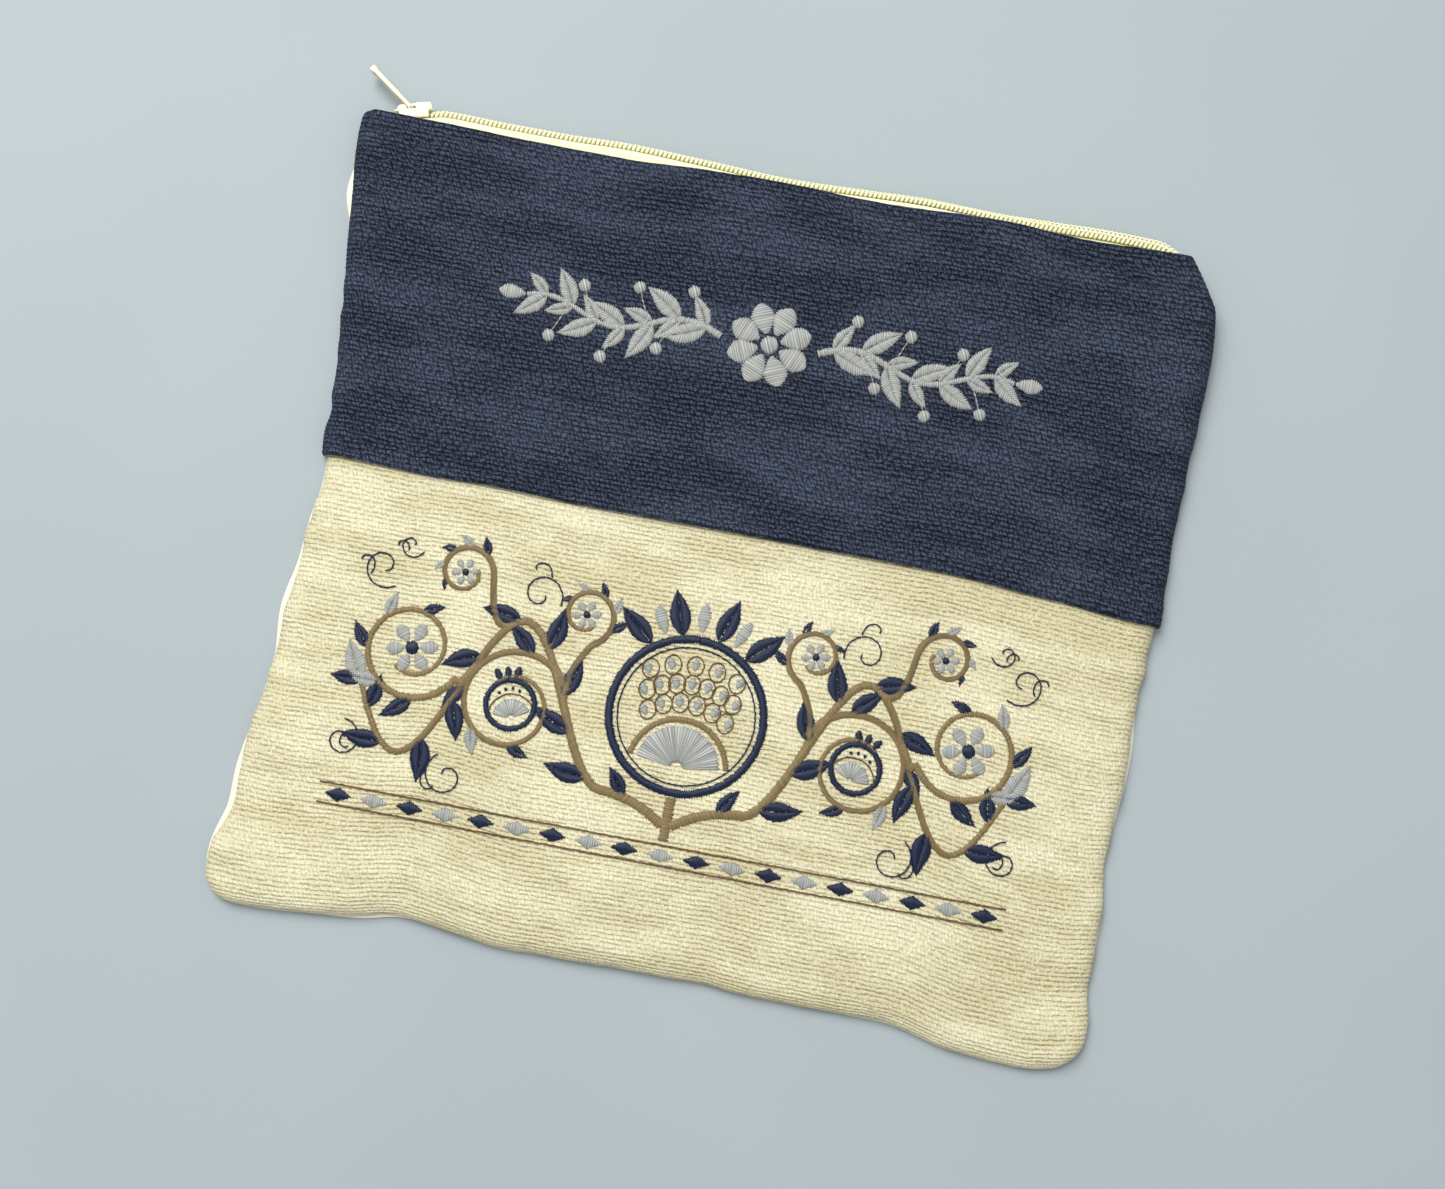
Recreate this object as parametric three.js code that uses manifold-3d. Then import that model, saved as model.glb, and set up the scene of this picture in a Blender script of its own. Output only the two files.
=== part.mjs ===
// A flat zipped cloth pouch for a prayer shawl, lying on its back, in millimetres.
// X runs along the zip, Y from the bottom seam to the zip, Z up out of the table.
import * as THREE from 'three';
import { mergeVertices } from 'three/addons/utils/BufferGeometryUtils.js';
import Module from 'manifold-3d';

const wasm = await Module();
wasm.setup();

// Cloth body
const bagWidth = 304;
const bagHeight = 276.6;
const frontWall = 1.4;
const upperWall = 1.2;
const backWall = 1.2;
const clearance = 0.3;
const bottomThickness = 6.6;
const middleThickness = 9.6;
const edgeRounding = 6.5;
const zipEndRounding = 3;
const bottomCornerRadius = 10;
const topCornerRadius = 2;
const backEdgeRounding = 0.9;
const calmShare = 0.15;

// Upper panel, laid over the front panel and folded under along its lower edge
const upperPanelDepth = 122.6;
const hemDepth = 9;
const hemExtra = 0.6;
const upperOverhang = 0.5;

// Gathers at the seams and slow waves in the cloth
const puckerDepth = 1.3;
const puckerPull = 1.1;
const puckerWidth = 9;
const puckerReach = 30;
const billowHeight = 1.1;
const billowSpan = 46;
const backPeek = 2.4;
const backPeekWidth = 13;

// Zip
const coilPitch = 1.6;
const coilHeight = 2.2;
const coilHalfWidth = 2.9;
const toothDepth = 1.1;
const toothGap = 0.5;
const tapeThickness = 0.8;
const tapeSlit = 0.5;
const tapeSeamDepth = 9;
const zipReach = 3.2;
const zipTilt = 38;

// Slider
const sliderShare = -0.882;
const sliderLength = 14.2;
const sliderWall = 1;
const sliderPlateThickness = 1;
const sliderUnderStep = 0.9;
const sliderYaw = 14;
const neckLength = 2.4;
const neckWidth = 2.2;
const bailWidth = 2.2;
const bailLugLength = 3.6;
const bailGap = 3.2;
const bailBarThickness = 0.9;
const bailCapRise = 0.4;

// Pull tab
const tabLength = 21;
const tabPlay = 0.4;
const tabThickness = 1.6;
const tabRimThickness = 2.3;
const tabRimLength = 2.4;
const tabRailWidth = 1;
const tabRailThickness = 1;
const tabCornerShare = 0.7;
const tabPinDiameter = 1.1;
const tabRestAngle = 130;

// The sides of the front panel from the bottom seam (0) to the zip edge (1).
// left and right are shares of half the bag's width.
const sideRows = [
  { up: 0.00, left: 1.006, right: 1.004 },
  { up: 0.05, left: 1.012, right: 1.007 },
  { up: 0.12, left: 0.989, right: 0.997 },
  { up: 0.19, left: 0.981, right: 0.998 },
  { up: 0.27, left: 0.965, right: 0.989 },
  { up: 0.34, left: 0.957, right: 0.998 },
  { up: 0.48, left: 0.943, right: 0.999 },
  { up: 0.53, left: 0.931, right: 1.004 },
  { up: 0.60, left: 0.934, right: 1.007 },
  { up: 0.67, left: 0.947, right: 1.009 },
  { up: 0.78, left: 0.963, right: 1.016 },
  { up: 0.88, left: 0.983, right: 1.022 },
  { up: 0.94, left: 0.995, right: 1.015 },
  { up: 0.97, left: 0.999, right: 0.984 },
  { up: 1.00, left: 0.996, right: 0.945 },
];

// How far the bottom seam hangs below its level, as a share of the bag's height.
const bottomRows = [
  { across: -1.00, drop: 0.010 },
  { across: -0.90, drop: 0.012 },
  { across: -0.72, drop: 0.004 },
  { across: -0.53, drop: -0.008 },
  { across: -0.30, drop: 0.006 },
  { across: 0.00, drop: 0.002 },
  { across: 0.26, drop: 0.006 },
  { across: 0.53, drop: 0.007 },
  { across: 0.72, drop: 0.026 },
  { across: 0.86, drop: 0.030 },
  { across: 1.00, drop: 0.018 },
];

// How far the edge at the zip lies below the bag's height, in shares of that height.
const topRows = [
  { across: -1.00, drop: 0.004 },
  { across: -0.80, drop: 0.006 },
  { across: -0.50, drop: 0.0095 },
  { across: -0.38, drop: 0.0095 },
  { across: -0.20, drop: 0.005 },
  { across: 0.00, drop: 0.003 },
  { across: 0.20, drop: 0.0065 },
  { across: 0.50, drop: 0.0005 },
  { across: 0.70, drop: 0.0055 },
  { across: 0.85, drop: 0.003 },
  { across: 1.00, drop: 0 },
];
const topDropPower = 6;

// Thickness of the bag from the bottom seam (0) to the seam of the zip's tape (1). crown is along
// the middle and side is where the edges start to round over, both from bottomThickness (0)
// through middleThickness (1) to the height that the zip needs (2).
const fullnessRows = [
  { up: 0.00, crown: 0.0, side: 0.0 },
  { up: 0.10, crown: 0.75, side: 0.1 },
  { up: 0.30, crown: 1.0, side: 0.2 },
  { up: 0.55, crown: 1.0, side: 0.3 },
  { up: 0.80, crown: 1.25, side: 0.7 },
  { up: 0.92, crown: 1.6, side: 1.4 },
  { up: 1.00, crown: 2.0, side: 2.0 },
];

// Gathers that run inwards from the seams. along is the place on the seam,
// pull and reach are shares of the sizes above.
const puckerRows = [
  { seam: 'left', along: 0.12, pull: 1.0, reach: 1.0 },
  { seam: 'left', along: 0.31, pull: 0.9, reach: 1.1 },
  { seam: 'left', along: 0.42, pull: 0.7, reach: 0.8 },
  { seam: 'left', along: 0.70, pull: 0.5, reach: 0.9 },
  { seam: 'right', along: 0.10, pull: 0.9, reach: 1.0 },
  { seam: 'right', along: 0.24, pull: 1.0, reach: 0.9 },
  { seam: 'right', along: 0.44, pull: 0.5, reach: 0.7 },
  { seam: 'right', along: 0.66, pull: 0.4, reach: 0.8 },
  { seam: 'bottom', along: -0.58, pull: 1.0, reach: 1.2 },
  { seam: 'bottom', along: -0.24, pull: 0.3, reach: 0.8 },
  { seam: 'bottom', along: 0.14, pull: 0.7, reach: 0.9 },
  { seam: 'bottom', along: 0.61, pull: 0.2, reach: 1.1 },
];

// Slow waves of the front: their middle as shares, their rise and span as shares of the sizes above.
const billowRows = [
  { across: -0.62, up: 0.15, rise: 0.9, span: 0.9 },
  { across: -0.10, up: 0.24, rise: 0.6, span: 1.1 },
  { across: 0.30, up: 0.12, rise: -0.6, span: 0.7 },
  { across: 0.66, up: 0.30, rise: 0.7, span: 0.9 },
  { across: -0.45, up: 0.36, rise: -0.7, span: 0.7 },
  { across: 0.20, up: 0.42, rise: 0.5, span: 0.8 },
  { across: -0.30, up: 0.66, rise: -0.5, span: 0.9 },
  { across: 0.42, up: 0.70, rise: -0.9, span: 0.6 },
  { across: 0.10, up: 0.80, rise: 0.4, span: 0.8 },
];

// Rows of the upper panel, from its folded hem to the zip edge. below is a share of the hem,
// thickness a share of the panel's wall and extra a share of what the fold adds to it.
const hemRows = [
  { below: 0, thickness: 0.5, extra: 0.5 },
  { below: 0.08, thickness: 1, extra: 1 },
  { below: 0.85, thickness: 1, extra: 1 },
  { below: 1.1, thickness: 1, extra: 0 },
];

// How far the hem hangs below its level along the panel, as a share of the hem's depth.
const hemHangRows = [
  { across: -1.00, hang: -0.20 },
  { across: -0.65, hang: 0.00 },
  { across: 0.40, hang: 0.00 },
  { across: 0.80, hang: 0.15 },
  { across: 1.00, hang: 0.43 },
];

// Where the smooth back panel shows past the front, as shares of backPeek and its width.
const peekRows = [
  { seam: 'left', along: 0.07, peek: 0.3, width: 0.9 },
  { seam: 'left', along: 0.14, peek: 0.8, width: 1.3 },
  { seam: 'left', along: 0.37, peek: 0.9, width: 1.3 },
  { seam: 'left', along: 0.90, peek: 1.6, width: 0.9 },
  { seam: 'right', along: 0.38, peek: 0.4, width: 1.0 },
  { seam: 'bottom', along: -0.62, peek: 0.5, width: 0.8 },
];

// The path of the zip along its edge: out is how far the chain's base stands past the edge,
// as a share of zipReach, and tilt how far its face turns up, as a share of zipTilt.
const zipRows = [
  { along: -0.81, out: 0.68, tilt: 0.0 },
  { along: -0.78, out: 0.70, tilt: 0.0 },
  { along: -0.74, out: 0.66, tilt: 0.0 },
  { along: -0.66, out: 0.58, tilt: 0.0 },
  { along: -0.53, out: 0.58, tilt: 0.0 },
  { along: -0.38, out: 0.80, tilt: 0.05 },
  { along: -0.20, out: 0.56, tilt: 0.1 },
  { along: 0.00, out: 0.18, tilt: 0.1 },
  { along: 0.20, out: 0.55, tilt: 0.2 },
  { along: 0.32, out: 0.80, tilt: 0.3 },
  { along: 0.50, out: 0.64, tilt: 0.5 },
  { along: 0.62, out: 0.70, tilt: 0.9 },
  { along: 0.74, out: 0.86, tilt: 1.0 },
  { along: 0.86, out: 0.75, tilt: 1.0 },
  { along: 0.94, out: -0.75, tilt: 0.8 },
];

// Numbers of faces along the cloth
const edgeSteps = 4;
const columnSteps = 20;
const lowerRowSteps = 9;
const upperRowSteps = 8;
const outlineSteps = 30;
const tapeStep = 9;
const arcSteps = 8;
const pinSides = 12;
const cornerSteps = 3;

// Worked-out sizes
const halfWidth = bagWidth / 2;
const rimHeight = backWall + clearance;
const tapeLift = clearance + tapeThickness / 2;
const sliderHalf = coilHalfWidth + clearance + sliderWall;
const sliderUnderHalf = sliderHalf - sliderUnderStep;
const foldAcross = sliderUnderHalf + clearance + tapeThickness / 2;
const backTapeHeight = backWall + clearance + tapeThickness / 2;
const zipHeight = backTapeHeight + foldAcross;
const frontTapeHeight = zipHeight + foldAcross;
const topThickness = frontTapeHeight + tapeThickness / 2 + clearance + frontWall;
const tapeSeamUp = 1 - (tapeSeamDepth + 2 * clearance) / bagHeight;
const sliderX = sliderShare * halfWidth;

// Value of one column of a table at a place, on a smooth line that never overshoots its rows.
function along(rows, key, column, place) {
  const last = rows.length - 1;
  if (place <= rows[0][key]) return rows[0][column];
  if (place >= rows[last][key]) return rows[last][column];
  let i = 0;
  while (place > rows[i + 1][key]) i += 1;
  const slope = (k) => (rows[k + 1][column] - rows[k][column]) / (rows[k + 1][key] - rows[k][key]);
  const tangent = (k) => {
    if (k === 0) return slope(0);
    if (k === last) return slope(last - 1);
    const before = slope(k - 1);
    const after = slope(k);
    return before * after <= 0 ? 0 : (2 * before * after) / (before + after);
  };
  const span = rows[i + 1][key] - rows[i][key];
  const t = (place - rows[i][key]) / span;
  const start = rows[i][column] * (1 + 2 * t) * (1 - t) ** 2;
  const end = rows[i + 1][column] * t * t * (3 - 2 * t);
  const bend = span * (tangent(i) * t * (1 - t) ** 2 - tangent(i + 1) * t * t * (1 - t));
  return start + end + bend;
}

// Rises from 0 at the zip to 1 where the cloth is free of it. calmShare is a share of the height.
const fadeIn = (below) => Math.min(1, Math.max(0, below / calmShare));

const bell = (distance, width) => Math.exp(-((distance / width) ** 2));

// How much less of a round corner is left at a distance from the edge.
function cornerPull(radius, distance) {
  if (radius <= 0 || distance >= radius) return 0;
  const left = radius - Math.max(distance, 0);
  return radius - Math.sqrt(radius * radius - left * left);
}

// Sum of the gathers of one seam at a place on it, in lengths measured along the seam.
function seamPull(seam, place, length) {
  let pull = 0;
  for (const row of puckerRows) {
    if (row.seam === seam) pull += row.pull * bell((place - row.along) * length, puckerWidth);
  }
  return pull;
}

function seamGroove(seam, place, length, inward) {
  let depth = 0;
  for (const row of puckerRows) {
    if (row.seam !== seam) continue;
    const reach = row.reach * puckerReach;
    const spread = puckerWidth * (1 + inward / reach);
    depth += row.pull * bell((place - row.along) * length, spread) * bell(inward, reach);
  }
  return depth;
}

// Side seams of the front panel at a height, moved outwards by an offset.
function sideEdges(up, offset) {
  const distance = up * bagHeight;
  const corner = cornerPull(bottomCornerRadius + offset, distance + offset);
  const topCorner = cornerPull(topCornerRadius, bagHeight - distance);
  const reach = (side) => halfWidth * along(sideRows, 'up', side, up)
    - puckerPull * seamPull(side, up, bagHeight) + offset - corner;
  return { left: topCorner - reach('left'), right: reach('right') };
}

// Level of a point of the cloth: its own height above the bottom seam, plus the seam's hang there.
function clothLevel(x, distance) {
  const across = x / halfWidth;
  const drop = bagHeight * along(bottomRows, 'across', 'drop', across);
  const pull = puckerPull * seamPull('bottom', across, halfWidth);
  const up = distance / bagHeight;
  const topDrop = bagHeight * along(topRows, 'across', 'drop', across) * up ** topDropPower;
  return distance - (drop - pull) * (1 - up) ** 2 - topDrop;
}

// Height of the front panel's outer face over the table, clear of its rounded edges.
function clothHeight(q, up, x) {
  const levels = [bottomThickness, middleThickness, topThickness];
  const pick = (share) => {
    const low = share < 1 ? 0 : 1;
    return levels[low] + (levels[low + 1] - levels[low]) * (share - low);
  };
  const share = up / tapeSeamUp;
  const crown = pick(along(fullnessRows, 'up', 'crown', share));
  const side = pick(along(fullnessRows, 'up', 'side', share));
  let height = side + (crown - side) * (1 - Math.abs(q) ** 3);
  const zipFade = fadeIn(tapeSeamUp - up);
  const edges = sideEdges(up, 0);
  const distance = up * bagHeight;
  let groove = seamGroove('left', up, bagHeight, x - edges.left);
  groove += seamGroove('right', up, bagHeight, edges.right - x);
  groove += seamGroove('bottom', x / halfWidth, halfWidth, distance);
  height -= puckerDepth * groove * zipFade;
  for (const row of billowRows) {
    const dx = x - row.across * halfWidth;
    const dy = distance - row.up * bagHeight;
    height += billowHeight * row.rise * bell(Math.hypot(dx, dy), billowSpan * row.span) * zipFade;
  }
  return height;
}

// How far a row of the cloth moves down to follow the hem: all of it at the hem, none at the ends.
function hemHang(q, p) {
  const hemPlace = 1 - upperPanelDepth / (bagHeight - edgeRounding);
  const share = Math.min(p / hemPlace, (1 - p) / (1 - hemPlace));
  return hemDepth * share * along(hemHangRows, 'across', 'hang', q);
}

// One point of the front, offset outwards from the front panel's outer face.
// column is { turn, side } on a rounded side or { q } between, and row likewise.
function clothPoint(column, row, offset) {
  const q = column.turn === undefined ? column.q : column.side;
  const distance = row.turn === undefined
    ? edgeRounding + row.p * (bagHeight - edgeRounding) - hemHang(q, row.p)
    : -offset + (edgeRounding + offset) * (1 - Math.cos(row.turn));
  const up = distance / bagHeight;
  const edges = sideEdges(up, offset);
  const rounding = zipEndRounding + (edgeRounding - zipEndRounding) * fadeIn(1 - up) + offset;
  let x;
  if (column.turn === undefined) {
    const left = edges.left + rounding;
    x = left + (edges.right - rounding - left) * (q + 1) / 2;
  } else {
    const inward = rounding * (1 - Math.cos(column.turn));
    x = q < 0 ? edges.left + inward : edges.right - inward;
  }
  const rise = clothHeight(q, up, x) + offset - rimHeight;
  const sideShare = column.turn === undefined ? 1 : Math.sin(column.turn);
  const rowShare = row.turn === undefined ? 1 : Math.sin(row.turn);
  return new THREE.Vector3(x, clothLevel(x, distance), rimHeight + rise * sideShare * rowShare);
}

function clothColumns() {
  const columns = [];
  for (let i = 0; i < edgeSteps; i += 1) columns.push({ side: -1, turn: (i / edgeSteps) * Math.PI / 2 });
  for (let i = 0; i <= columnSteps; i += 1) columns.push({ q: -1 + 2 * i / columnSteps });
  for (let i = edgeSteps - 1; i >= 0; i -= 1) columns.push({ side: 1, turn: (i / edgeSteps) * Math.PI / 2 });
  return columns;
}

// Closed mesh from points and triangles, turned so that its faces point out.
function solid(points, faces) {
  let volume = 0;
  for (const [a, b, c] of faces) volume += points[a].dot(points[b].clone().cross(points[c]));
  const index = faces.flatMap(([a, b, c]) => (volume > 0 ? [a, b, c] : [a, c, b]));
  const geometry = new THREE.BufferGeometry().setFromPoints(points);
  geometry.setIndex(index);
  return geometry;
}

// A cloth wall between two grids of points of the same size, closed along its four edges.
function wallGeometry(outer, inner) {
  const rows = outer.length;
  const columns = outer[0].length;
  const points = [...outer.flat(), ...inner.flat()];
  const at = (r, c, layer) => layer * rows * columns + r * columns + c;
  const faces = [];
  for (let r = 0; r < rows - 1; r += 1) {
    for (let c = 0; c < columns - 1; c += 1) {
      faces.push([at(r, c, 0), at(r, c + 1, 0), at(r + 1, c + 1, 0)]);
      faces.push([at(r, c, 0), at(r + 1, c + 1, 0), at(r + 1, c, 0)]);
      faces.push([at(r, c, 1), at(r + 1, c + 1, 1), at(r, c + 1, 1)]);
      faces.push([at(r, c, 1), at(r + 1, c, 1), at(r + 1, c + 1, 1)]);
    }
  }
  const border = [];
  for (let c = 0; c < columns - 1; c += 1) border.push([0, c]);
  for (let r = 0; r < rows - 1; r += 1) border.push([r, columns - 1]);
  for (let c = columns - 1; c > 0; c -= 1) border.push([rows - 1, c]);
  for (let r = rows - 1; r > 0; r -= 1) border.push([r, 0]);
  border.forEach(([r, c], i) => {
    const [nextR, nextC] = border[(i + 1) % border.length];
    faces.push([at(r, c, 1), at(nextR, nextC, 1), at(nextR, nextC, 0)]);
    faces.push([at(r, c, 1), at(nextR, nextC, 0), at(r, c, 0)]);
  });
  return solid(points, faces);
}

// A strip swept through stations. Each station is a list of [face, back] pairs of points.
function stripGeometry(stations) {
  const pairs = stations[0].length;
  const ring = 2 * pairs;
  const points = stations.flatMap((station) => [
    ...station.map((pair) => pair[0]),
    ...station.map((pair) => pair[1]).reverse(),
  ]);
  const faces = [];
  for (let s = 0; s < stations.length - 1; s += 1) {
    for (let i = 0; i < ring; i += 1) {
      const a = s * ring + i;
      const b = s * ring + (i + 1) % ring;
      faces.push([a, b, b + ring]);
      faces.push([a, b + ring, a + ring]);
    }
  }
  const end = (stations.length - 1) * ring;
  for (let i = 0; i < pairs - 1; i += 1) {
    const j = ring - 1 - i;
    faces.push([i + 1, i, j], [i + 1, j, j - 1]);
    faces.push([end + i, end + i + 1, end + j], [end + i + 1, end + j - 1, end + j]);
  }
  return solid(points, faces);
}

function upperRows() {
  const full = bagHeight - edgeRounding;
  const rows = hemRows.map((row) => ({
    p: 1 - (upperPanelDepth - row.below * hemDepth) / full,
    offset: clearance + upperWall * row.thickness + hemExtra * row.extra,
  }));
  const start = rows[rows.length - 1].p;
  for (let i = 1; i <= upperRowSteps; i += 1) {
    rows.push({ p: start + (1 - start) * i / upperRowSteps, offset: clearance + upperWall });
  }
  return rows;
}

// Front panel: the whole height of the bag, with the upper panel's rows under that panel.
function frontPanel() {
  const covered = upperRows().map((row) => ({ p: row.p }));
  const rows = [];
  for (let i = 0; i < edgeSteps; i += 1) rows.push({ turn: (i / edgeSteps) * Math.PI / 2 });
  for (let i = 0; i < lowerRowSteps; i += 1) rows.push({ p: covered[0].p * i / lowerRowSteps });
  rows.push(...covered);
  const columns = clothColumns();
  const face = (offset) => rows.map((row) => columns.map((column) => clothPoint(column, row, offset)));
  return wallGeometry(face(0), face(-frontWall));
}

// Upper panel: its folded hem is thicker than the rest and rounded at its lower edge.
function upperPanel() {
  const rows = upperRows();
  const columns = clothColumns();
  const outer = rows.map((row) => columns.map((column) => clothPoint(column, { p: row.p }, row.offset)));
  const inner = rows.map((row) => columns.map((column) => clothPoint(column, { p: row.p }, clearance)));
  for (const grid of [outer, inner]) grid[grid.length - 1].forEach((point) => { point.y += upperOverhang; });
  return wallGeometry(outer, inner);
}

// Back panel: a flat sheet whose edge is the front's edge, a little further out where it peeks.
function backPanel() {
  const peek = (seam, place, length) => {
    let out = 0;
    for (const row of peekRows) {
      if (row.seam === seam) out += row.peek * bell((place - row.along) * length, backPeekWidth * row.width);
    }
    return backPeek * out;
  };
  const outline = [];
  const levels = [];
  for (let i = 0; i <= arcSteps; i += 1) {
    levels.push(bottomCornerRadius * (1 - Math.cos((i / arcSteps) * Math.PI / 2)) / bagHeight);
  }
  for (let i = 1; i <= outlineSteps; i += 1) {
    levels.push(levels[arcSteps] + (1 - levels[arcSteps]) * i / outlineSteps);
  }
  for (const up of [...levels].reverse()) {
    const x = sideEdges(up, 0).left - peek('left', up, bagHeight);
    outline.push(new THREE.Vector2(x, clothLevel(x, up * bagHeight)));
  }
  const from = sideEdges(0, 0).left;
  const to = sideEdges(0, 0).right;
  for (let i = 1; i < outlineSteps; i += 1) {
    const x = from + (to - from) * i / outlineSteps;
    outline.push(new THREE.Vector2(x, clothLevel(x, 0) - peek('bottom', x / halfWidth, halfWidth)));
  }
  for (const up of levels) {
    const x = sideEdges(up, 0).right + peek('right', up, bagHeight);
    outline.push(new THREE.Vector2(x, clothLevel(x, up * bagHeight)));
  }
  const count = outline.length;
  const inset = (amount) => outline.map((point, i) => {
    const before = outline[(i + count - 1) % count];
    const after = outline[(i + 1) % count];
    const way = after.clone().sub(before).normalize();
    return new THREE.Vector2(point.x - way.y * amount, point.y + way.x * amount);
  });
  const rings = [
    { edge: inset(backEdgeRounding), z: 0 },
    { edge: outline, z: backWall / 2 },
    { edge: inset(backEdgeRounding / 2), z: backWall },
  ];
  const points = rings.flatMap((ring) => ring.edge.map((p) => new THREE.Vector3(p.x, p.y, ring.z)));
  const faces = [];
  const top = 2 * count;
  for (const [a, b, c] of THREE.ShapeUtils.triangulateShape(rings[0].edge, [])) faces.push([a, c, b]);
  for (const [a, b, c] of THREE.ShapeUtils.triangulateShape(rings[2].edge, [])) {
    faces.push([top + a, top + b, top + c]);
  }
  for (let r = 0; r < 2; r += 1) {
    for (let i = 0; i < count; i += 1) {
      const a = r * count + i;
      const b = r * count + (i + 1) % count;
      faces.push([a, b, b + count], [a, b + count, a + count]);
    }
  }
  return solid(points, faces);
}

// Zip path: the chain's base point, the way across it and the way out of its face.
const zipEdge = bagHeight + upperOverhang;
const straightEnd = sliderX + sliderLength / 2 + 2 * coilPitch;
const yaw = THREE.MathUtils.degToRad(sliderYaw);

function zipFrame(x) {
  const place = Math.max(x, straightEnd) / halfWidth;
  const slope = Math.min(0, x - straightEnd) * Math.tan(yaw);
  const y = zipEdge + zipReach * along(zipRows, 'along', 'out', place) + slope;
  const tilt = THREE.MathUtils.degToRad(zipTilt * along(zipRows, 'along', 'tilt', place));
  return {
    at: (across, outward) => new THREE.Vector3(
      x,
      y - across * Math.sin(tilt) + outward * Math.cos(tilt),
      zipHeight + across * Math.cos(tilt) + outward * Math.sin(tilt),
    ),
    tilt,
  };
}

const zipRight = sideEdges(1, 0).right - zipEndRounding - clearance;
const zipLeft = sideEdges(1, 0).left + zipEndRounding + clearance;
const chainLeft = sliderX - sliderLength / 2 + neckLength + clearance;

// One half of the chain: a bar whose inner edge runs in teeth between those of the other half.
function chainHalf(sign) {
  const steps = Math.floor((zipRight - chainLeft) / (coilPitch / 2));
  const stations = [];
  for (let i = 0; i <= steps; i += 1) {
    const frame = zipFrame(chainLeft + i * coilPitch / 2);
    const tooth = (i % 2 === 0 ? 1 : -1) * toothDepth / 2;
    const inner = tooth + sign * toothGap / 2;
    const outer = sign * coilHalfWidth;
    stations.push([
      [frame.at(inner, coilHeight), frame.at(inner, 0)],
      [frame.at(outer, coilHeight), frame.at(outer, 0)],
    ]);
  }
  return stripGeometry(stations);
}

// One tape: behind the chain, then turned in under its panel's edge. The slider's neck spreads
// the tapes where the chain starts.
function tapeHalf(sign) {
  const closed = chainLeft + neckWidth;
  const steps = Math.ceil((zipRight - closed) / tapeStep);
  const places = [zipLeft, chainLeft];
  for (let i = 0; i <= steps; i += 1) places.push(closed + (zipRight - closed) * i / steps);
  const stations = [];
  for (const x of places) {
    const frame = zipFrame(x);
    const spread = x < closed ? neckWidth / 2 + clearance : tapeSlit / 2;
    const level = sign > 0 ? frontTapeHeight : backTapeHeight;
    const middle = frame.at(0, -tapeLift);
    const reach = (level - middle.z) / Math.cos(frame.tilt);
    const half = tapeThickness / 2;
    const bend = half * Math.tan((Math.PI / 2 - sign * frame.tilt) / 2);
    const seamY = bagHeight - tapeSeamDepth;
    stations.push([
      [frame.at(sign * spread, half - tapeLift), frame.at(sign * spread, -half - tapeLift)],
      [frame.at(reach + sign * bend, half - tapeLift), frame.at(reach - sign * bend, -half - tapeLift)],
      [new THREE.Vector3(x, seamY, level + sign * half), new THREE.Vector3(x, seamY, level - sign * half)],
    ]);
  }
  return stripGeometry(stations);
}

// Booleans
function toManifold(geometry) {
  const bare = geometry.clone();
  bare.deleteAttribute('normal');
  bare.deleteAttribute('uv');
  const merged = mergeVertices(bare, 1e-4);
  const mesh = new wasm.Mesh({
    numProp: 3,
    vertProperties: new Float32Array(merged.attributes.position.array),
    triVerts: new Uint32Array(merged.index.array),
  });
  return new wasm.Manifold(mesh);
}

function fromManifold(body) {
  const mesh = body.getMesh();
  const geometry = new THREE.BufferGeometry();
  geometry.setAttribute('position', new THREE.BufferAttribute(new Float32Array(mesh.vertProperties), 3));
  geometry.setIndex(new THREE.BufferAttribute(new Uint32Array(mesh.triVerts), 1));
  return geometry;
}

const joined = (pieces) => fromManifold(pieces.map(toManifold).reduce((whole, piece) => whole.add(piece)));

// A flat outline in x and y with round corners, and its extrusion from one z to another.
function roundedOutline(x0, x1, y0, y1, radius) {
  const shape = new THREE.Shape();
  const r = Math.min(radius, (x1 - x0) / 2, (y1 - y0) / 2);
  shape.moveTo(x0 + r, y0);
  shape.lineTo(x1 - r, y0);
  shape.absarc(x1 - r, y0 + r, r, -Math.PI / 2, 0);
  shape.lineTo(x1, y1 - r);
  shape.absarc(x1 - r, y1 - r, r, 0, Math.PI / 2);
  shape.lineTo(x0 + r, y1);
  shape.absarc(x0 + r, y1 - r, r, Math.PI / 2, Math.PI);
  shape.lineTo(x0, y0 + r);
  shape.absarc(x0 + r, y0 + r, r, Math.PI, 1.5 * Math.PI);
  return shape;
}

function slab(shape, z0, z1) {
  const settings = { depth: z1 - z0, bevelEnabled: false, curveSegments: cornerSteps };
  return new THREE.ExtrudeGeometry(shape, settings).translate(0, 0, z0);
}

// Slider, in its own frame: x along the zip, y across the chain, z out of its face.
const sliderFront = -sliderLength / 2;
const sliderRear = sliderLength / 2;
const plateBase = coilHeight + clearance;
const plateTop = plateBase + sliderPlateThickness;
const underTop = -tapeLift - tapeThickness / 2 - clearance;
const plateRadius = sliderHalf / 2;
const neckOverlap = sliderPlateThickness / 2;
const lugStart = sliderFront + sliderPlateThickness;
const gapStart = lugStart + bailLugLength;
const gapEnd = gapStart + bailGap;
const pinX = (gapStart + gapEnd) / 2;
const pinZ = plateTop + clearance + tabPinDiameter / 2;
const barBase = pinZ + tabPinDiameter / 2 + clearance;
const barTop = barBase + bailBarThickness;

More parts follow.
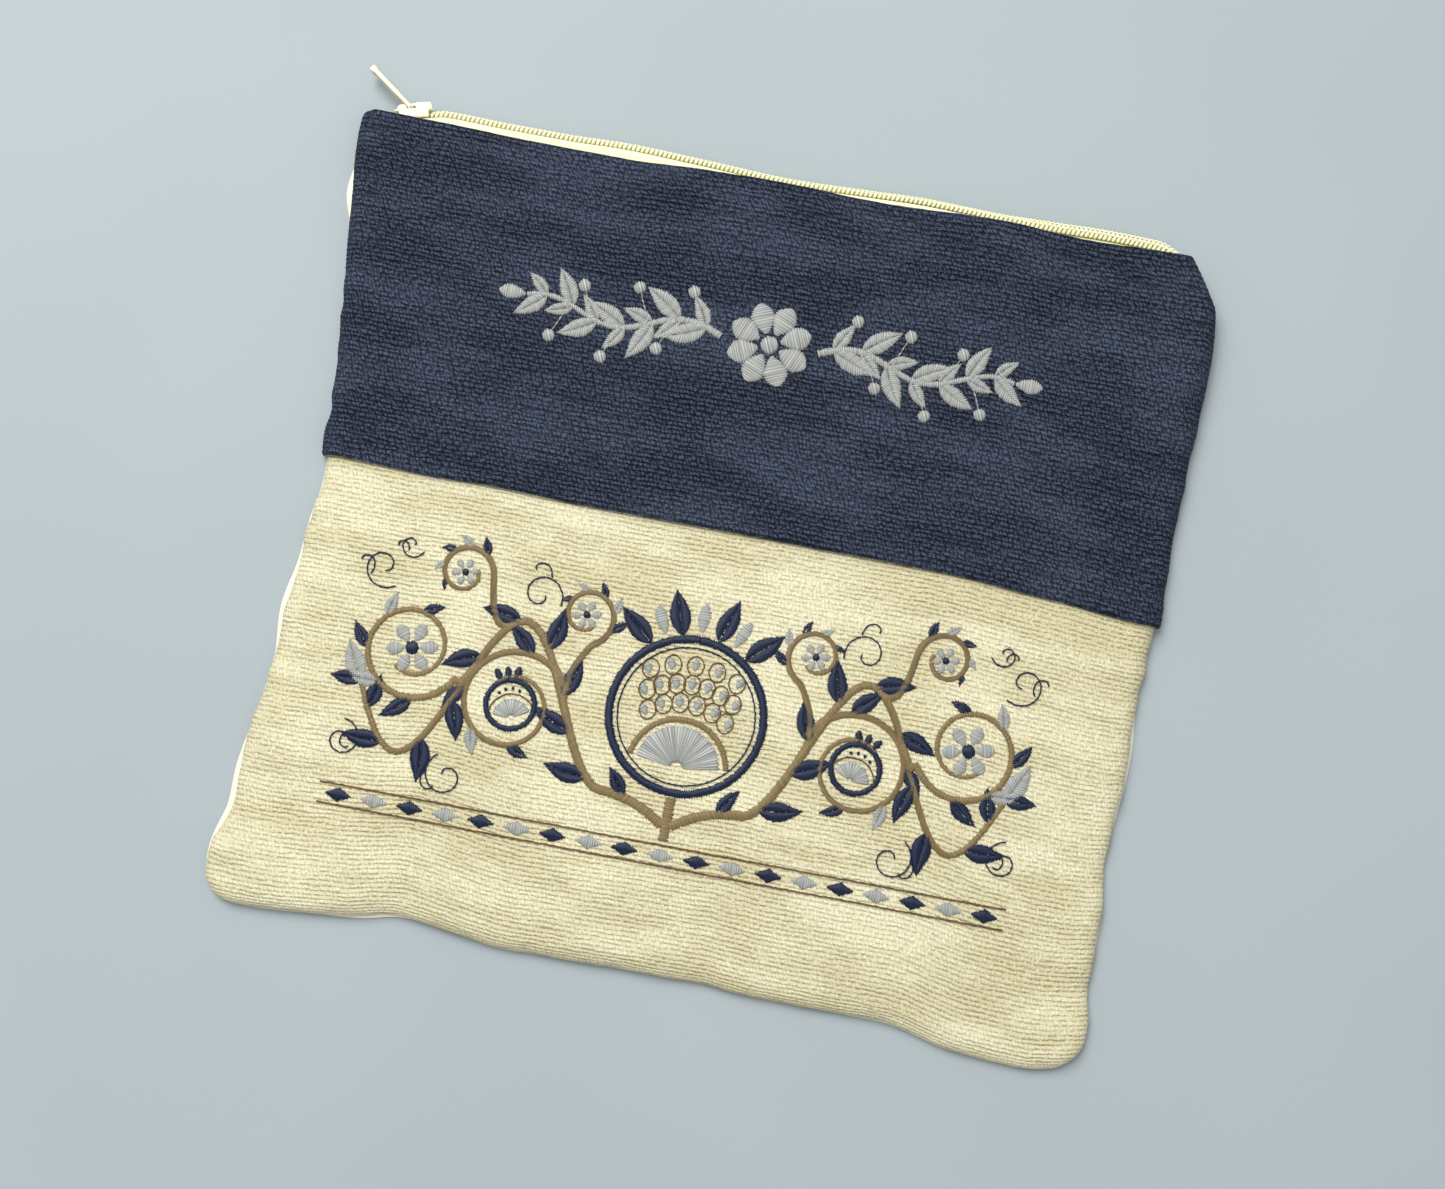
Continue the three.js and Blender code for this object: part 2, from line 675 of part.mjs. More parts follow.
function bailShape() {
  const shape = new THREE.Shape();
  const capTop = barTop + bailCapRise;
  const base = plateTop - neckOverlap;
  const lugRound = bailLugLength / 3;
  const capEnd = sliderRear - sliderPlateThickness / 2;
  shape.moveTo(lugStart, base);
  shape.lineTo(gapStart, base);
  shape.lineTo(gapStart, barBase);
  shape.lineTo(gapEnd, barBase);
  shape.lineTo(gapEnd, base);
  shape.lineTo(capEnd, base);
  shape.lineTo(capEnd - sliderPlateThickness / 2, capTop - bailCapRise);
  shape.lineTo(capEnd - sliderPlateThickness, capTop);
  shape.lineTo(gapEnd, capTop);
  shape.lineTo(gapEnd, barTop);
  shape.lineTo(lugStart + lugRound, barTop);
  shape.quadraticCurveTo(lugStart, barTop, lugStart, barTop - lugRound);
  return shape;
}

function sliderBody() {
  const wide = sliderHalf;
  const under = sliderUnderHalf;
  const flangeIn = sliderHalf - sliderWall;
  const neck = new THREE.Shape();
  neck.moveTo(sliderFront, 0);
  neck.lineTo(sliderFront + neckLength / 3, -neckWidth / 2);
  neck.lineTo(sliderFront + neckLength, 0);
  neck.lineTo(sliderFront + neckLength / 3, neckWidth / 2);
  const bail = slab(bailShape(), -bailWidth / 2, bailWidth / 2);
  bail.rotateX(Math.PI / 2);
  const flangeRadius = (wide - flangeIn) / 3;
  return joined([
    slab(roundedOutline(sliderFront, sliderRear, -wide, wide, plateRadius), plateBase, plateTop),
    slab(roundedOutline(sliderFront, sliderRear, -under, under, plateRadius),
      underTop - sliderPlateThickness, underTop),
    slab(neck, underTop - neckOverlap, plateBase + neckOverlap),
    slab(roundedOutline(sliderFront + plateRadius, sliderRear - plateRadius, flangeIn, wide, flangeRadius),
      0, plateBase + neckOverlap),
    slab(roundedOutline(sliderFront + plateRadius, sliderRear - plateRadius, -wide, -flangeIn, flangeRadius),
      0, plateBase + neckOverlap),
    bail,
  ]);
}

// Pull tab, in its own frame: x away from its pin, y along the pin, z through it.
function pullTab() {
  const half = bailWidth / 2 + tabPlay + tabRailWidth;
  const eyeEnd = bailGap / 2 + bailLugLength + tabPlay;
  const pin = tabPinDiameter / 2;
  const corner = half * tabCornerShare;
  const leaf = (start, thickness) => slab(roundedOutline(start, tabLength, -half, half, corner),
    -thickness / 2, thickness / 2);
  const rail = (side) => {
    const outer = side * half;
    const inner = side * (half - tabRailWidth);
    const shape = roundedOutline(0, eyeEnd + corner, Math.min(outer, inner), Math.max(outer, inner), 0);
    return slab(shape, -tabRailThickness / 2, tabRailThickness / 2);
  };
  return joined([
    new THREE.CylinderGeometry(pin, pin, 2 * half, pinSides),
    rail(1),
    rail(-1),
    leaf(eyeEnd, tabThickness),
    leaf(tabLength - tabRimLength, tabRimThickness),
  ]);
}

// Assembly
const beige = new THREE.MeshStandardMaterial({ color: 0xdccfa6, roughness: 0.95, metalness: 0 });
const navy = new THREE.MeshStandardMaterial({ color: 0x373f55, roughness: 0.95, metalness: 0 });
const creamCloth = new THREE.MeshStandardMaterial({ color: 0xf2efd8, roughness: 0.8, metalness: 0 });
const creamNylon = new THREE.MeshStandardMaterial({ color: 0xf5f0cd, roughness: 0.5, metalness: 0 });
const creamPaint = new THREE.MeshStandardMaterial({ color: 0xf8f4d6, roughness: 0.35, metalness: 0.1 });

const group = new THREE.Group();

function addPiece(name, geometry, material, parent = group) {
  const mesh = new THREE.Mesh(geometry, material);
  mesh.name = name;
  parent.add(mesh);
  return mesh;
}

addPiece('back_panel', backPanel(), creamCloth);
addPiece('front_panel', frontPanel(), beige);
addPiece('upper_panel', upperPanel(), navy);
addPiece('zip_tape_front', tapeHalf(1), creamNylon);
addPiece('zip_tape_back', tapeHalf(-1), creamNylon);
addPiece('zip_chain_front', chainHalf(1), creamNylon);
addPiece('zip_chain_back', chainHalf(-1), creamNylon);

const sliderGroup = new THREE.Group();
sliderGroup.position.copy(zipFrame(sliderX).at(0, 0));
sliderGroup.rotation.set(-Math.PI / 2, 0, yaw, 'ZYX');
group.add(sliderGroup);
addPiece('slider_body', sliderBody(), creamPaint, sliderGroup);
const tab = addPiece('pull_tab', pullTab(), creamPaint, sliderGroup);
tab.position.set(pinX, 0, pinZ);
tab.rotation.y = -THREE.MathUtils.degToRad(tabRestAngle);

// The origin is under the middle of the bag, on the table.
const box = new THREE.Box3().setFromObject(group, true);
group.position.set(-(box.min.x + box.max.x) / 2, -(box.min.y + box.max.y) / 2, -box.min.z);
group.updateMatrixWorld(true);

export default group;
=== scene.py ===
"""Dresses the flat prayer shawl pouch: chenille cloth, coil zip, slider and embroidery."""

import math

import bpy
import numpy as np
from bpy.props import FloatProperty, FloatVectorProperty, PointerProperty
from mathutils import Matrix, Vector


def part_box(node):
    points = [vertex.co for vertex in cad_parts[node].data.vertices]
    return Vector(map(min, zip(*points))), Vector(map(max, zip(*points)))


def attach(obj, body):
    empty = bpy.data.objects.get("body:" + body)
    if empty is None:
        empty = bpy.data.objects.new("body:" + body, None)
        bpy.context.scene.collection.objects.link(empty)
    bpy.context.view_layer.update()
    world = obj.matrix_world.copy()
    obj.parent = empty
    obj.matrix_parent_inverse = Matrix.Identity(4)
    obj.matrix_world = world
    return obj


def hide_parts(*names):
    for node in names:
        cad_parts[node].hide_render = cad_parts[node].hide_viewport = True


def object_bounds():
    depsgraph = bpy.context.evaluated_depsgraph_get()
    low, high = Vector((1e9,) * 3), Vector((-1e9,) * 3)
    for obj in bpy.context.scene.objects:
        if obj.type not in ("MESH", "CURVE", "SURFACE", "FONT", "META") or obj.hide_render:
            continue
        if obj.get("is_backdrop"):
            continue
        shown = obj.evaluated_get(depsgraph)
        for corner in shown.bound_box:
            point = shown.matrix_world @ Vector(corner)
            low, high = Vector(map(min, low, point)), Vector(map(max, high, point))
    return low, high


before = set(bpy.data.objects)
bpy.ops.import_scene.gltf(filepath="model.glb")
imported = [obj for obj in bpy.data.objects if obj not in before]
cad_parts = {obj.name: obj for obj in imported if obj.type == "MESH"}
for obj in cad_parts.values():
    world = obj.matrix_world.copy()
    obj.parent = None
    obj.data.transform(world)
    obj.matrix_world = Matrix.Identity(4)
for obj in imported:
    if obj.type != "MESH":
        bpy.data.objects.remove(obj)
cad_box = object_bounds()

bl_info = {
    "name": "Prayer shawl pouch",
    "version": (1, 0, 0),
    "blender": (4, 5, 0),
    "location": "View3D > Sidebar > Pouch",
    "description": "Builds the cloth, zip and embroidery of a flat zipped pouch around its solids",
    "category": "Object",
}

MM = 0.001

# Sizes of the pouch in millimetres, as its solids have them
BAG_WIDTH = 304
BAG_HEIGHT = 276.6
FRONT_WALL = 1.4
UPPER_WALL = 1.2
BACK_WALL = 1.2
CLEARANCE = 0.3
BOTTOM_THICKNESS = 6.6
MIDDLE_THICKNESS = 9.6
EDGE_ROUNDING = 6.5
ZIP_END_ROUNDING = 3
BOTTOM_CORNER_RADIUS = 10
TOP_CORNER_RADIUS = 2
CALM_SHARE = 0.15
UPPER_PANEL_DEPTH = 122.6
HEM_DEPTH = 9
HEM_EXTRA = 0.6
HEM_UNDERLAP = 4
UPPER_OVERHANG = 0.5
PUCKER_DEPTH = 1.3
PUCKER_PULL = 1.1
PUCKER_WIDTH = 9
PUCKER_REACH = 30
BILLOW_HEIGHT = 1.1
BILLOW_SPAN = 46
GATHER_REACH = 26
GATHER_END = 235
BACK_PEEK = 2.4
BACK_PEEK_WIDTH = 13
BACK_PEEK_HEIGHT = 6
BACK_BEVEL = 0.45


def table(columns, *rows):
    """Short table with named columns, as {column: values}."""
    return {name: np.array([row[i] for row in rows]) for i, name in enumerate(columns.split())}


# Side seams as shares of half the width, bottom seam's hang as a share of the height
SIDES = table(
    "up left right",
    (0.00, 1.006, 1.004),
    (0.05, 1.012, 1.007),
    (0.12, 0.989, 0.997),
    (0.19, 0.981, 0.998),
    (0.27, 0.965, 0.989),
    (0.34, 0.957, 0.998),
    (0.48, 0.943, 0.999),
    (0.53, 0.931, 1.004),
    (0.60, 0.934, 1.007),
    (0.67, 0.947, 1.009),
    (0.78, 0.963, 1.016),
    (0.88, 0.983, 1.022),
    (0.94, 0.995, 1.015),
    (0.97, 0.999, 0.984),
    (1.00, 0.996, 0.945),
)
BOTTOM = table(
    "across drop",
    (-1.00, 0.010),
    (-0.90, 0.012),
    (-0.72, 0.004),
    (-0.53, -0.008),
    (-0.30, 0.006),
    (0.00, 0.002),
    (0.26, 0.006),
    (0.53, 0.007),
    (0.72, 0.026),
    (0.86, 0.030),
    (1.00, 0.018),
)

# How far the edge at the zip lies below the bag's height, in shares of that height
TOP = table(
    "across drop",
    (-1.00, 0.004),
    (-0.80, 0.006),
    (-0.50, 0.0095),
    (-0.38, 0.0095),
    (-0.20, 0.005),
    (0.00, 0.003),
    (0.20, 0.0065),
    (0.50, 0.0005),
    (0.70, 0.0055),
    (0.85, 0.003),
    (1.00, 0.0),
)
TOP_DROP_POWER = 6

# Thickness from the bottom seam to the zip's tape, through the three levels of the solids
FULLNESS = table(
    "up crown side",
    (0.00, 0.0, 0.0),
    (0.10, 0.75, 0.1),
    (0.30, 1.0, 0.2),
    (0.55, 1.0, 0.3),
    (0.80, 1.25, 0.7),
    (0.92, 1.6, 1.4),
    (1.00, 2.0, 2.0),
)

# Where the seams are gathered: how hard each pucker pulls and how far in its groove reaches
PUCKERS = {
    "left": table(
        "along pull reach", (0.12, 1.0, 1.0), (0.31, 0.9, 1.1), (0.42, 0.7, 0.8), (0.70, 0.5, 0.9),
    ),
    "right": table(
        "along pull reach", (0.10, 0.9, 1.0), (0.24, 1.0, 0.9), (0.44, 0.5, 0.7), (0.66, 0.4, 0.8),
    ),
    "bottom": table(
        "along pull reach", (-0.58, 1.0, 1.2), (-0.24, 0.3, 0.8), (0.14, 0.7, 0.9), (0.61, 0.2, 1.1),
    ),
}

# Soft swells and hollows of the front, the hang of the upper panel's hem, and the back's slivers
BILLOWS = table(
    "across up rise span",
    (-0.62, 0.15, 0.9, 0.9),
    (-0.10, 0.24, 0.6, 1.1),
    (0.30, 0.12, -0.6, 0.7),
    (0.66, 0.30, 0.7, 0.9),
    (-0.45, 0.36, -0.7, 0.7),
    (0.20, 0.42, 0.5, 0.8),
    (-0.30, 0.66, -0.5, 0.9),
    (0.42, 0.70, -0.9, 0.6),
    (0.10, 0.80, 0.4, 0.8),
)
HEM_HANG = table(
    "across hang",
    (-1.00, -0.20),
    (-0.65, 0.00),
    (0.40, 0.00),
    (0.80, 0.15),
    (1.00, 0.43),
)
PEEKS = {
    "left": table("along peek width", (0.07, 0.3, 0.9), (0.14, 0.8, 1.3), (0.37, 0.9, 1.3), (0.90, 1.6, 0.9)),
    "right": table("along peek width", (0.38, 0.4, 1.0)),
    "bottom": table("along peek width", (-0.62, 0.5, 0.8)),
}

# The path of the zip: how far the chain's base stands past the edge and how far its face turns up
ZIP_ROWS = table(
    "along out tilt",
    (-0.81, 0.68, 0.0),
    (-0.78, 0.70, 0.0),
    (-0.74, 0.66, 0.0),
    (-0.66, 0.58, 0.0),
    (-0.53, 0.58, 0.0),
    (-0.38, 0.80, 0.05),
    (-0.20, 0.56, 0.1),
    (0.00, 0.18, 0.1),
    (0.20, 0.55, 0.2),
    (0.32, 0.80, 0.3),
    (0.50, 0.64, 0.5),
    (0.62, 0.70, 0.9),
    (0.74, 0.86, 1.0),
    (0.86, 0.75, 1.0),
    (0.94, -0.75, 0.8),
)
COIL_PITCH = 1.6
COIL_HEIGHT = 2.2
COIL_HALF_WIDTH = 2.9
TAPE_THICKNESS = 0.8
TAPE_SLIT = 0.5
TAPE_SEAM_DEPTH = 9
ZIP_REACH = 3.2
ZIP_TILT = math.radians(38)
FOLD_RADIUS = 1.1
COIL_WIRE = 0.42
SLIDER_SHARE = -0.882
SLIDER_LENGTH = 14.2
SLIDER_WALL = 1
SLIDER_PLATE = 1
SLIDER_UNDER_STEP = 0.9
SLIDER_YAW = math.radians(14)
CAST_BEVEL = 0.35
CAST_SINK = 0.4
NECK_LENGTH = 2.4
NECK_WIDTH = 2.2
BAIL_WIDTH = 2.2
BAIL_LUG_LENGTH = 3.6
BAIL_GAP = 3.2
BAIL_BAR = 0.9
BAIL_CAP_RISE = 0.4
TAB_LENGTH = 21
TAB_PLAY = 0.4
TAB_THICKNESS = 1.6
TAB_RIM_THICKNESS = 2.3
TAB_RIM_LENGTH = 2.4
TAB_RAIL = 1
TAB_PIN = 1.1
TAB_REST = math.radians(130)
TAB_RIM = table("along thick", (-1.0, 0.0), (0.0, 0.5), (1.0, 1.0))

# Embroidery: the middles of the two motifs over the part's origin, and how they spread
SPRIG_MIDDLE = (3.5, 219.5)
SPRIG_START = 17
SPRIG_REACH = 86
ROSETTE_PETALS = 8
VINE_MIDDLE = (-1, 87)
SCROLL_START = 24
SCROLL_REACH = 112
SCROLL_BASE = -3
SCROLL_HEIGHT = 26
SCROLL_LENGTH = 72
FLOWER_PETALS = 6
BORDER_REACH = 119
BORDER_LINES = (-50.5, -43.5)
LOZENGES = 19
LOZENGE_REACH = 4.6
LOZENGE_HEIGHT = 2.3
CURLS = table(
    "x y size start turn branch fruit",
    (60, -6, 20, 160, -470, 0.36, 1),
    (97, 7, 18.5, 205, 460, 0.62, 0),
    (40, 29, 10.5, 250, -380, 0.30, 0),
    (84, 36, 10, 180, -380, 0.51, 0),
)
STEM_LEAVES = table(
    "along lean size",
    (0.09, 52, 11),
    (0.17, -50, 15),
    (0.26, -48, 15),
    (0.33, 52, 14),
    (0.42, 52, 15),
    (0.50, 44, 14),
    (0.60, 50, 14),
    (0.70, -50, 14),
    (0.79, -48, 15),
    (0.88, -52, 14),
    (0.95, 46, 12),
)
TENDRILS = table(
    "x y size start turn",
    (57, 33, 8, 200, -380),
    (112, 33, 8, 230, 380),
    (77, -34, 8, 60, -400),
    (115, -28, 7, 90, 420),
    (104, 42, 5, 200, 340),
)

# Steps of the grids and seeds of the cloth's unevenness
RIB_STEPS = 4
EDGE_STEPS = 8
FRONT_COLUMNS = 200
UPPER_COLUMNS = 276
BACK_COLUMNS = 120
BACK_ROWS = 140
CORNER_STEPS = 12
WIRE_SIDES = 6
BEVEL_STEPS = 3
RIPPLE_SEED = 31
FRONT_RIB_SEED = 11
UPPER_RIB_SEED = 51

# The photograph in pixels, and the place over the part's origin that shows at the aimed pixel
PHOTO_WIDTH = 1445
PHOTO_HEIGHT = 1189
AIM_PIXEL = (714, 588)
AIM_HEIGHT = 134
SENSOR_WIDTH = 36

HALF_WIDTH = BAG_WIDTH / 2
RIM_HEIGHT = BACK_WALL + CLEARANCE
SLIDER_X = SLIDER_SHARE * HALF_WIDTH
SLIDER_HALF = COIL_HALF_WIDTH + CLEARANCE + SLIDER_WALL
TAPE_LIFT = CLEARANCE + TAPE_THICKNESS / 2
PLATE_BASE = COIL_HEIGHT + CLEARANCE
PIN_HEIGHT = PLATE_BASE + SLIDER_PLATE + CLEARANCE + TAB_PIN / 2
FOLD_ACROSS = SLIDER_HALF - SLIDER_UNDER_STEP + CLEARANCE + TAPE_THICKNESS / 2
BACK_TAPE_HEIGHT = BACK_WALL + CLEARANCE + TAPE_THICKNESS / 2
ZIP_HEIGHT = BACK_TAPE_HEIGHT + FOLD_ACROSS
FRONT_TAPE_HEIGHT = ZIP_HEIGHT + FOLD_ACROSS
TOP_THICKNESS = FRONT_TAPE_HEIGHT + TAPE_THICKNESS / 2 + CLEARANCE + FRONT_WALL
TAPE_SEAM_UP = 1 - (TAPE_SEAM_DEPTH + 2 * CLEARANCE) / BAG_HEIGHT

# The solids are centred under their box, so their shift is read from the front chain's left end
# and the front tape's lower edge
SHIFT = Vector((
    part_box("zip_chain_front")[0].x / MM - SLIDER_X + SLIDER_LENGTH / 2 - NECK_LENGTH - CLEARANCE,
    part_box("zip_tape_front")[0].y / MM - BAG_HEIGHT + TAPE_SEAM_DEPTH,
    0,
))


def table_rows(rows):
    """A table's rows, each as {column: value}."""
    return [dict(zip(rows, values)) for values in zip(*rows.values())]


def look_up(rows, key, column, place):
    """Values of a table's column on a smooth line that never overshoots its rows."""
    xs, ys = rows[key], rows[column]
    place = np.clip(np.asarray(place, float), xs[0], xs[-1])
    steps = np.diff(xs)
    slopes = np.diff(ys) / steps
    tangents = np.empty(len(xs))
    tangents[0], tangents[-1] = slopes[0], slopes[-1]
    before, after = slopes[:-1], slopes[1:]
    same = before * after > 0
    total = np.where(same, before + after, 1)
    tangents[1:-1] = np.where(same, 2 * before * after / total, 0)
    i = np.clip(np.searchsorted(xs, place, side="right") - 1, 0, len(xs) - 2)
    t = (place - xs[i]) / steps[i]
    start = ys[i] * (1 + 2 * t) * (1 - t) ** 2
    end = ys[i + 1] * t * t * (3 - 2 * t)
    bend = steps[i] * (tangents[i] * t * (1 - t) ** 2 - tangents[i + 1] * t * t * (1 - t))
    return start + end + bend


def bell(distance, width):
    return np.exp(-((distance / width) ** 2))


def unit(ways):
    """Ways scaled to a length of one."""
    return ways / np.maximum(np.linalg.norm(ways, axis=-1, keepdims=True), 1e-9)


def fade_in(below):
    """Share that grows from 0 at the zip to 1 where the cloth has come clear of it."""
    return np.clip(below / CALM_SHARE, 0, 1)


def corner_pull(radius, distance):
    """How far a round corner draws its edge in, at a distance from the corner's end."""
    left = radius - np.clip(distance, 0, radius)
    return radius - np.sqrt(radius * radius - left * left)


def edge_rounding(up, offset):
    """Radius of the cloth's rounded side at a height, smaller at the zip's ends."""
    return ZIP_END_ROUNDING + (EDGE_ROUNDING - ZIP_END_ROUNDING) * fade_in(1 - up) + offset


def seam_pull(seam, place, length):
    """How hard the puckers of a seam draw it in at a place along it."""
    return sum(
        spot["pull"] * bell((place - spot["along"]) * length, PUCKER_WIDTH)
        for spot in table_rows(PUCKERS[seam])
    )


def seam_groove(seam, place, length, inward):
    """How deep the puckers of a seam dent the cloth beside it."""
    depth = 0
    for spot in table_rows(PUCKERS[seam]):
        reach = spot["reach"] * PUCKER_REACH
        spread = PUCKER_WIDTH * (1 + np.maximum(inward, 0) / reach)
        dent = spot["pull"] * bell((place - spot["along"]) * length, spread)
        depth = depth + dent * bell(inward, reach)
    return depth


def side_edges(up, offset=0.0):
    """Left and right edge of the cloth at a height."""
    distance = up * BAG_HEIGHT
    corner = corner_pull(BOTTOM_CORNER_RADIUS + offset, distance + offset)
    top_corner = corner_pull(TOP_CORNER_RADIUS, BAG_HEIGHT - distance)
    reach = {}
    for side in ("left", "right"):
        share = look_up(SIDES, "up", side, up)
        pull = PUCKER_PULL * seam_pull(side, up, BAG_HEIGHT)
        reach[side] = HALF_WIDTH * share - pull + offset - corner
    return top_corner - reach["left"], reach["right"]


def cloth_level(x, distance):
    """Y of a point of the cloth at a distance up from the bottom seam."""
    across = x / HALF_WIDTH
    drop = BAG_HEIGHT * look_up(BOTTOM, "across", "drop", across)
    pull = PUCKER_PULL * seam_pull("bottom", across, HALF_WIDTH)
    up = distance / BAG_HEIGHT
    top_drop = BAG_HEIGHT * look_up(TOP, "across", "drop", across) * up ** TOP_DROP_POWER
    return distance - (drop - pull) * (1 - up) ** 2 - top_drop


def cloth_height(q, up, x):
    """Height of the cloth over the table, clear of its rounded edges."""
    levels = np.array([BOTTOM_THICKNESS, MIDDLE_THICKNESS, TOP_THICKNESS])
    share = up / TAPE_SEAM_UP
    crown = np.interp(look_up(FULLNESS, "up", "crown", share), [0, 1, 2], levels)
    side = np.interp(look_up(FULLNESS, "up", "side", share), [0, 1, 2], levels)
    height = side + (crown - side) * (1 - np.abs(q) ** 3)
    zip_fade = fade_in(TAPE_SEAM_UP - up)
    left, right = side_edges(up)
    distance = up * BAG_HEIGHT
    groove = seam_groove("left", up, BAG_HEIGHT, x - left)
    groove = groove + seam_groove("right", up, BAG_HEIGHT, right - x)
    groove = groove + seam_groove("bottom", x / HALF_WIDTH, HALF_WIDTH, distance)
    height = height - PUCKER_DEPTH * groove * zip_fade
    for spot in table_rows(BILLOWS):
        dx = x - spot["across"] * HALF_WIDTH
        dy = distance - spot["up"] * BAG_HEIGHT
        swell = bell(np.hypot(dx, dy), BILLOW_SPAN * spot["span"])
        height = height + BILLOW_HEIGHT * spot["rise"] * swell * zip_fade
    return height


def hem_hang(q, p):
    """How far the rows of the cloth hang with the upper panel's hem."""
    hem_place = 1 - UPPER_PANEL_DEPTH / (BAG_HEIGHT - EDGE_ROUNDING)
    share = np.minimum(p / hem_place, (1 - p) / (1 - hem_place))
    return HEM_DEPTH * share * look_up(HEM_HANG, "across", "hang", q)


def cloth_points(columns, rows, offset):
    """Grid of points of the cloth. A column is (q, turn) and a row is (p, turn): turn is a quarter
    turn except on the rounded sides. offset is one value for each row."""
    q = columns[:, 0][None, :]
    turn_x = columns[:, 1][None, :]
    p = rows[:, 0][:, None]
    turn_y = rows[:, 1][:, None]
    offset = np.broadcast_to(np.asarray(offset, float).reshape(-1, 1), p.shape)
    rounded = turn_y < math.pi / 2 - 1e-9
    above = EDGE_ROUNDING + p * (BAG_HEIGHT - EDGE_ROUNDING) - hem_hang(q, p)
    below = -offset + (EDGE_ROUNDING + offset) * (1 - np.cos(turn_y))
    distance = np.where(rounded, below, above)
    up = distance / BAG_HEIGHT
    left, right = side_edges(up, offset)
    rounding = edge_rounding(up, offset)
    inner_left, inner_right = left + rounding, right - rounding
    inside = inner_left + (inner_right - inner_left) * (q + 1) / 2
    inward = rounding * (1 - np.cos(turn_x))
    edge = np.where(q < 0, left + inward, right - inward)
    x = np.where(turn_x < math.pi / 2 - 1e-9, edge, inside)
    rise = cloth_height(q, up, x) + offset - RIM_HEIGHT
    z = RIM_HEIGHT + rise * np.sin(turn_x) * np.sin(turn_y)
    return np.stack([x, cloth_level(x, distance), z], -1)


def cloth_columns(steps):
    """Columns of a cloth grid: the rounded left side, the face and the rounded right side."""
    turns = np.arange(EDGE_STEPS) / EDGE_STEPS * math.pi / 2
    left = [(-1.0, t) for t in turns]
    middle = [(q, math.pi / 2) for q in np.linspace(-1, 1, steps + 1)]
    return np.array(left + middle + [(1.0, t) for t in turns[::-1]])


def grid_normals(points):
    return unit(np.cross(np.gradient(points, axis=1), np.gradient(points, axis=0)))


def new_piece(name, points, faces, uv=None):
    """Smooth-shaded mesh object from points in part millimetres, moved into the frame."""
    mesh = bpy.data.meshes.new(name)
    corners = (np.asarray(points, float).reshape(-1, 3) + np.array(SHIFT)) * MM
    mesh.from_pydata(corners.tolist(), [], faces)
    mesh.validate()
    mesh.update()
    if uv is not None:
        layer = mesh.uv_layers.new(name="UVMap")
        index = np.empty(len(mesh.loops), np.int32)
        mesh.loops.foreach_get("vertex_index", index)
        layer.data.foreach_set("uv", np.asarray(uv, np.float32).reshape(-1, 2)[index].ravel())
    mesh.polygons.foreach_set("use_smooth", np.ones(len(mesh.polygons), bool))
    piece = bpy.data.objects.new(name, mesh)
    bpy.context.scene.collection.objects.link(piece)
    return piece


def dress(piece, material, body, node=None):
    """Gives a piece its material, the body that it rides on and the solid it replaces."""
    piece.data.materials.append(material)
    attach(piece, body)
    if node:
        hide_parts(node)


def grid_faces(rows, columns, base=0, flip=False):
    """Four-sided faces of a grid whose points start at an index."""
    r, c = np.meshgrid(np.arange(rows - 1), np.arange(columns - 1), indexing="ij")
    a = (base + r * columns + c).ravel()
    quads = np.stack([a, a + 1, a + columns + 1, a + columns], -1)
    return (quads[:, ::-1] if flip else quads).tolist()


def border_loop(rows, columns):
    """Indices of the points round the edge of a grid."""
    bottom = [(0, c) for c in range(columns - 1)]
    right = [(r, columns - 1) for r in range(rows - 1)]
    top = [(rows - 1, c) for c in range(columns - 1, 0, -1)]
    left = [(r, 0) for r in range(rows - 1, 0, -1)]
    return [r * columns + c for r, c in bottom + right + top + left]


def soft_noise(u, v, seed):
    """Smooth noise between -1 and 1 over a unit lattice."""
    lattice = np.random.RandomState(seed).uniform(-1, 1, (64, 64))
    iu, iv = np.floor(u).astype(int), np.floor(v).astype(int)
    fu, fv = u - iu, v - iv
    fu, fv = fu * fu * (3 - 2 * fu), fv * fv * (3 - 2 * fv)
    corner = lambda a, b: lattice[(iu + a) % 64, (iv + b) % 64]
    low = corner(0, 0) * (1 - fu) + corner(1, 0) * fu
    high = corner(0, 1) * (1 - fu) + corner(1, 1) * fu
    return low * (1 - fv) + high * fv


def wall_mesh(outer, inner, step):
    """Closed cloth wall: a fine outer grid and an inner grid with a point at every step of it."""
    rows, columns = outer.shape[:2]
    small_rows, small_columns = inner.shape[:2]
    fine_edge = border_loop(rows, columns)
    coarse_edge = border_loop(small_rows, small_columns)
    count = rows * columns
    points = np.concatenate([outer.reshape(-1, 3), inner.reshape(-1, 3)])
    faces = grid_faces(rows, columns)
    faces += grid_faces(small_rows, small_columns, count, flip=True)
    for i, corner in enumerate(coarse_edge):
        a = count + corner
        b = count + coarse_edge[(i + 1) % len(coarse_edge)]
        for j in range(step):
            start = fine_edge[i * step + j]
            end = fine_edge[(i * step + j + 1) % len(fine_edge)]
            faces.append([a, end, start])
        faces.append([a, b, end])
    return points, faces


def swept_strip(stations):
    """Closed strip through rings of points, with flat ends."""
    stations = np.asarray(stations, float)
    count, ring = stations.shape[:2]
    faces = []
    for s in range(count - 1):
        for i in range(ring):
            a, b = s * ring + i, s * ring + (i + 1) % ring
            faces.append([a, b, b + ring, a + ring])
    faces.append(list(range(ring - 1, -1, -1)))
    faces.append([(count - 1) * ring + i for i in range(ring)])
    return stations.reshape(-1, 3), faces


def round_wire(path, across, outward, wide, high):
    """Tube along a path. across and outward are unit ways for each point, wide and high its half sizes."""
    turns = np.arange(WIRE_SIDES) / WIRE_SIDES * 2 * math.pi
    wide = np.broadcast_to(np.asarray(wide, float), (len(path),))[:, None, None]
    high = np.broadcast_to(np.asarray(high, float), (len(path),))[:, None, None]
    ring = np.cos(turns)[None, :, None] * wide * across[:, None, :]
    ring = ring + np.sin(turns)[None, :, None] * high * outward[:, None, :]
    return swept_strip(path[:, None, :] + ring)


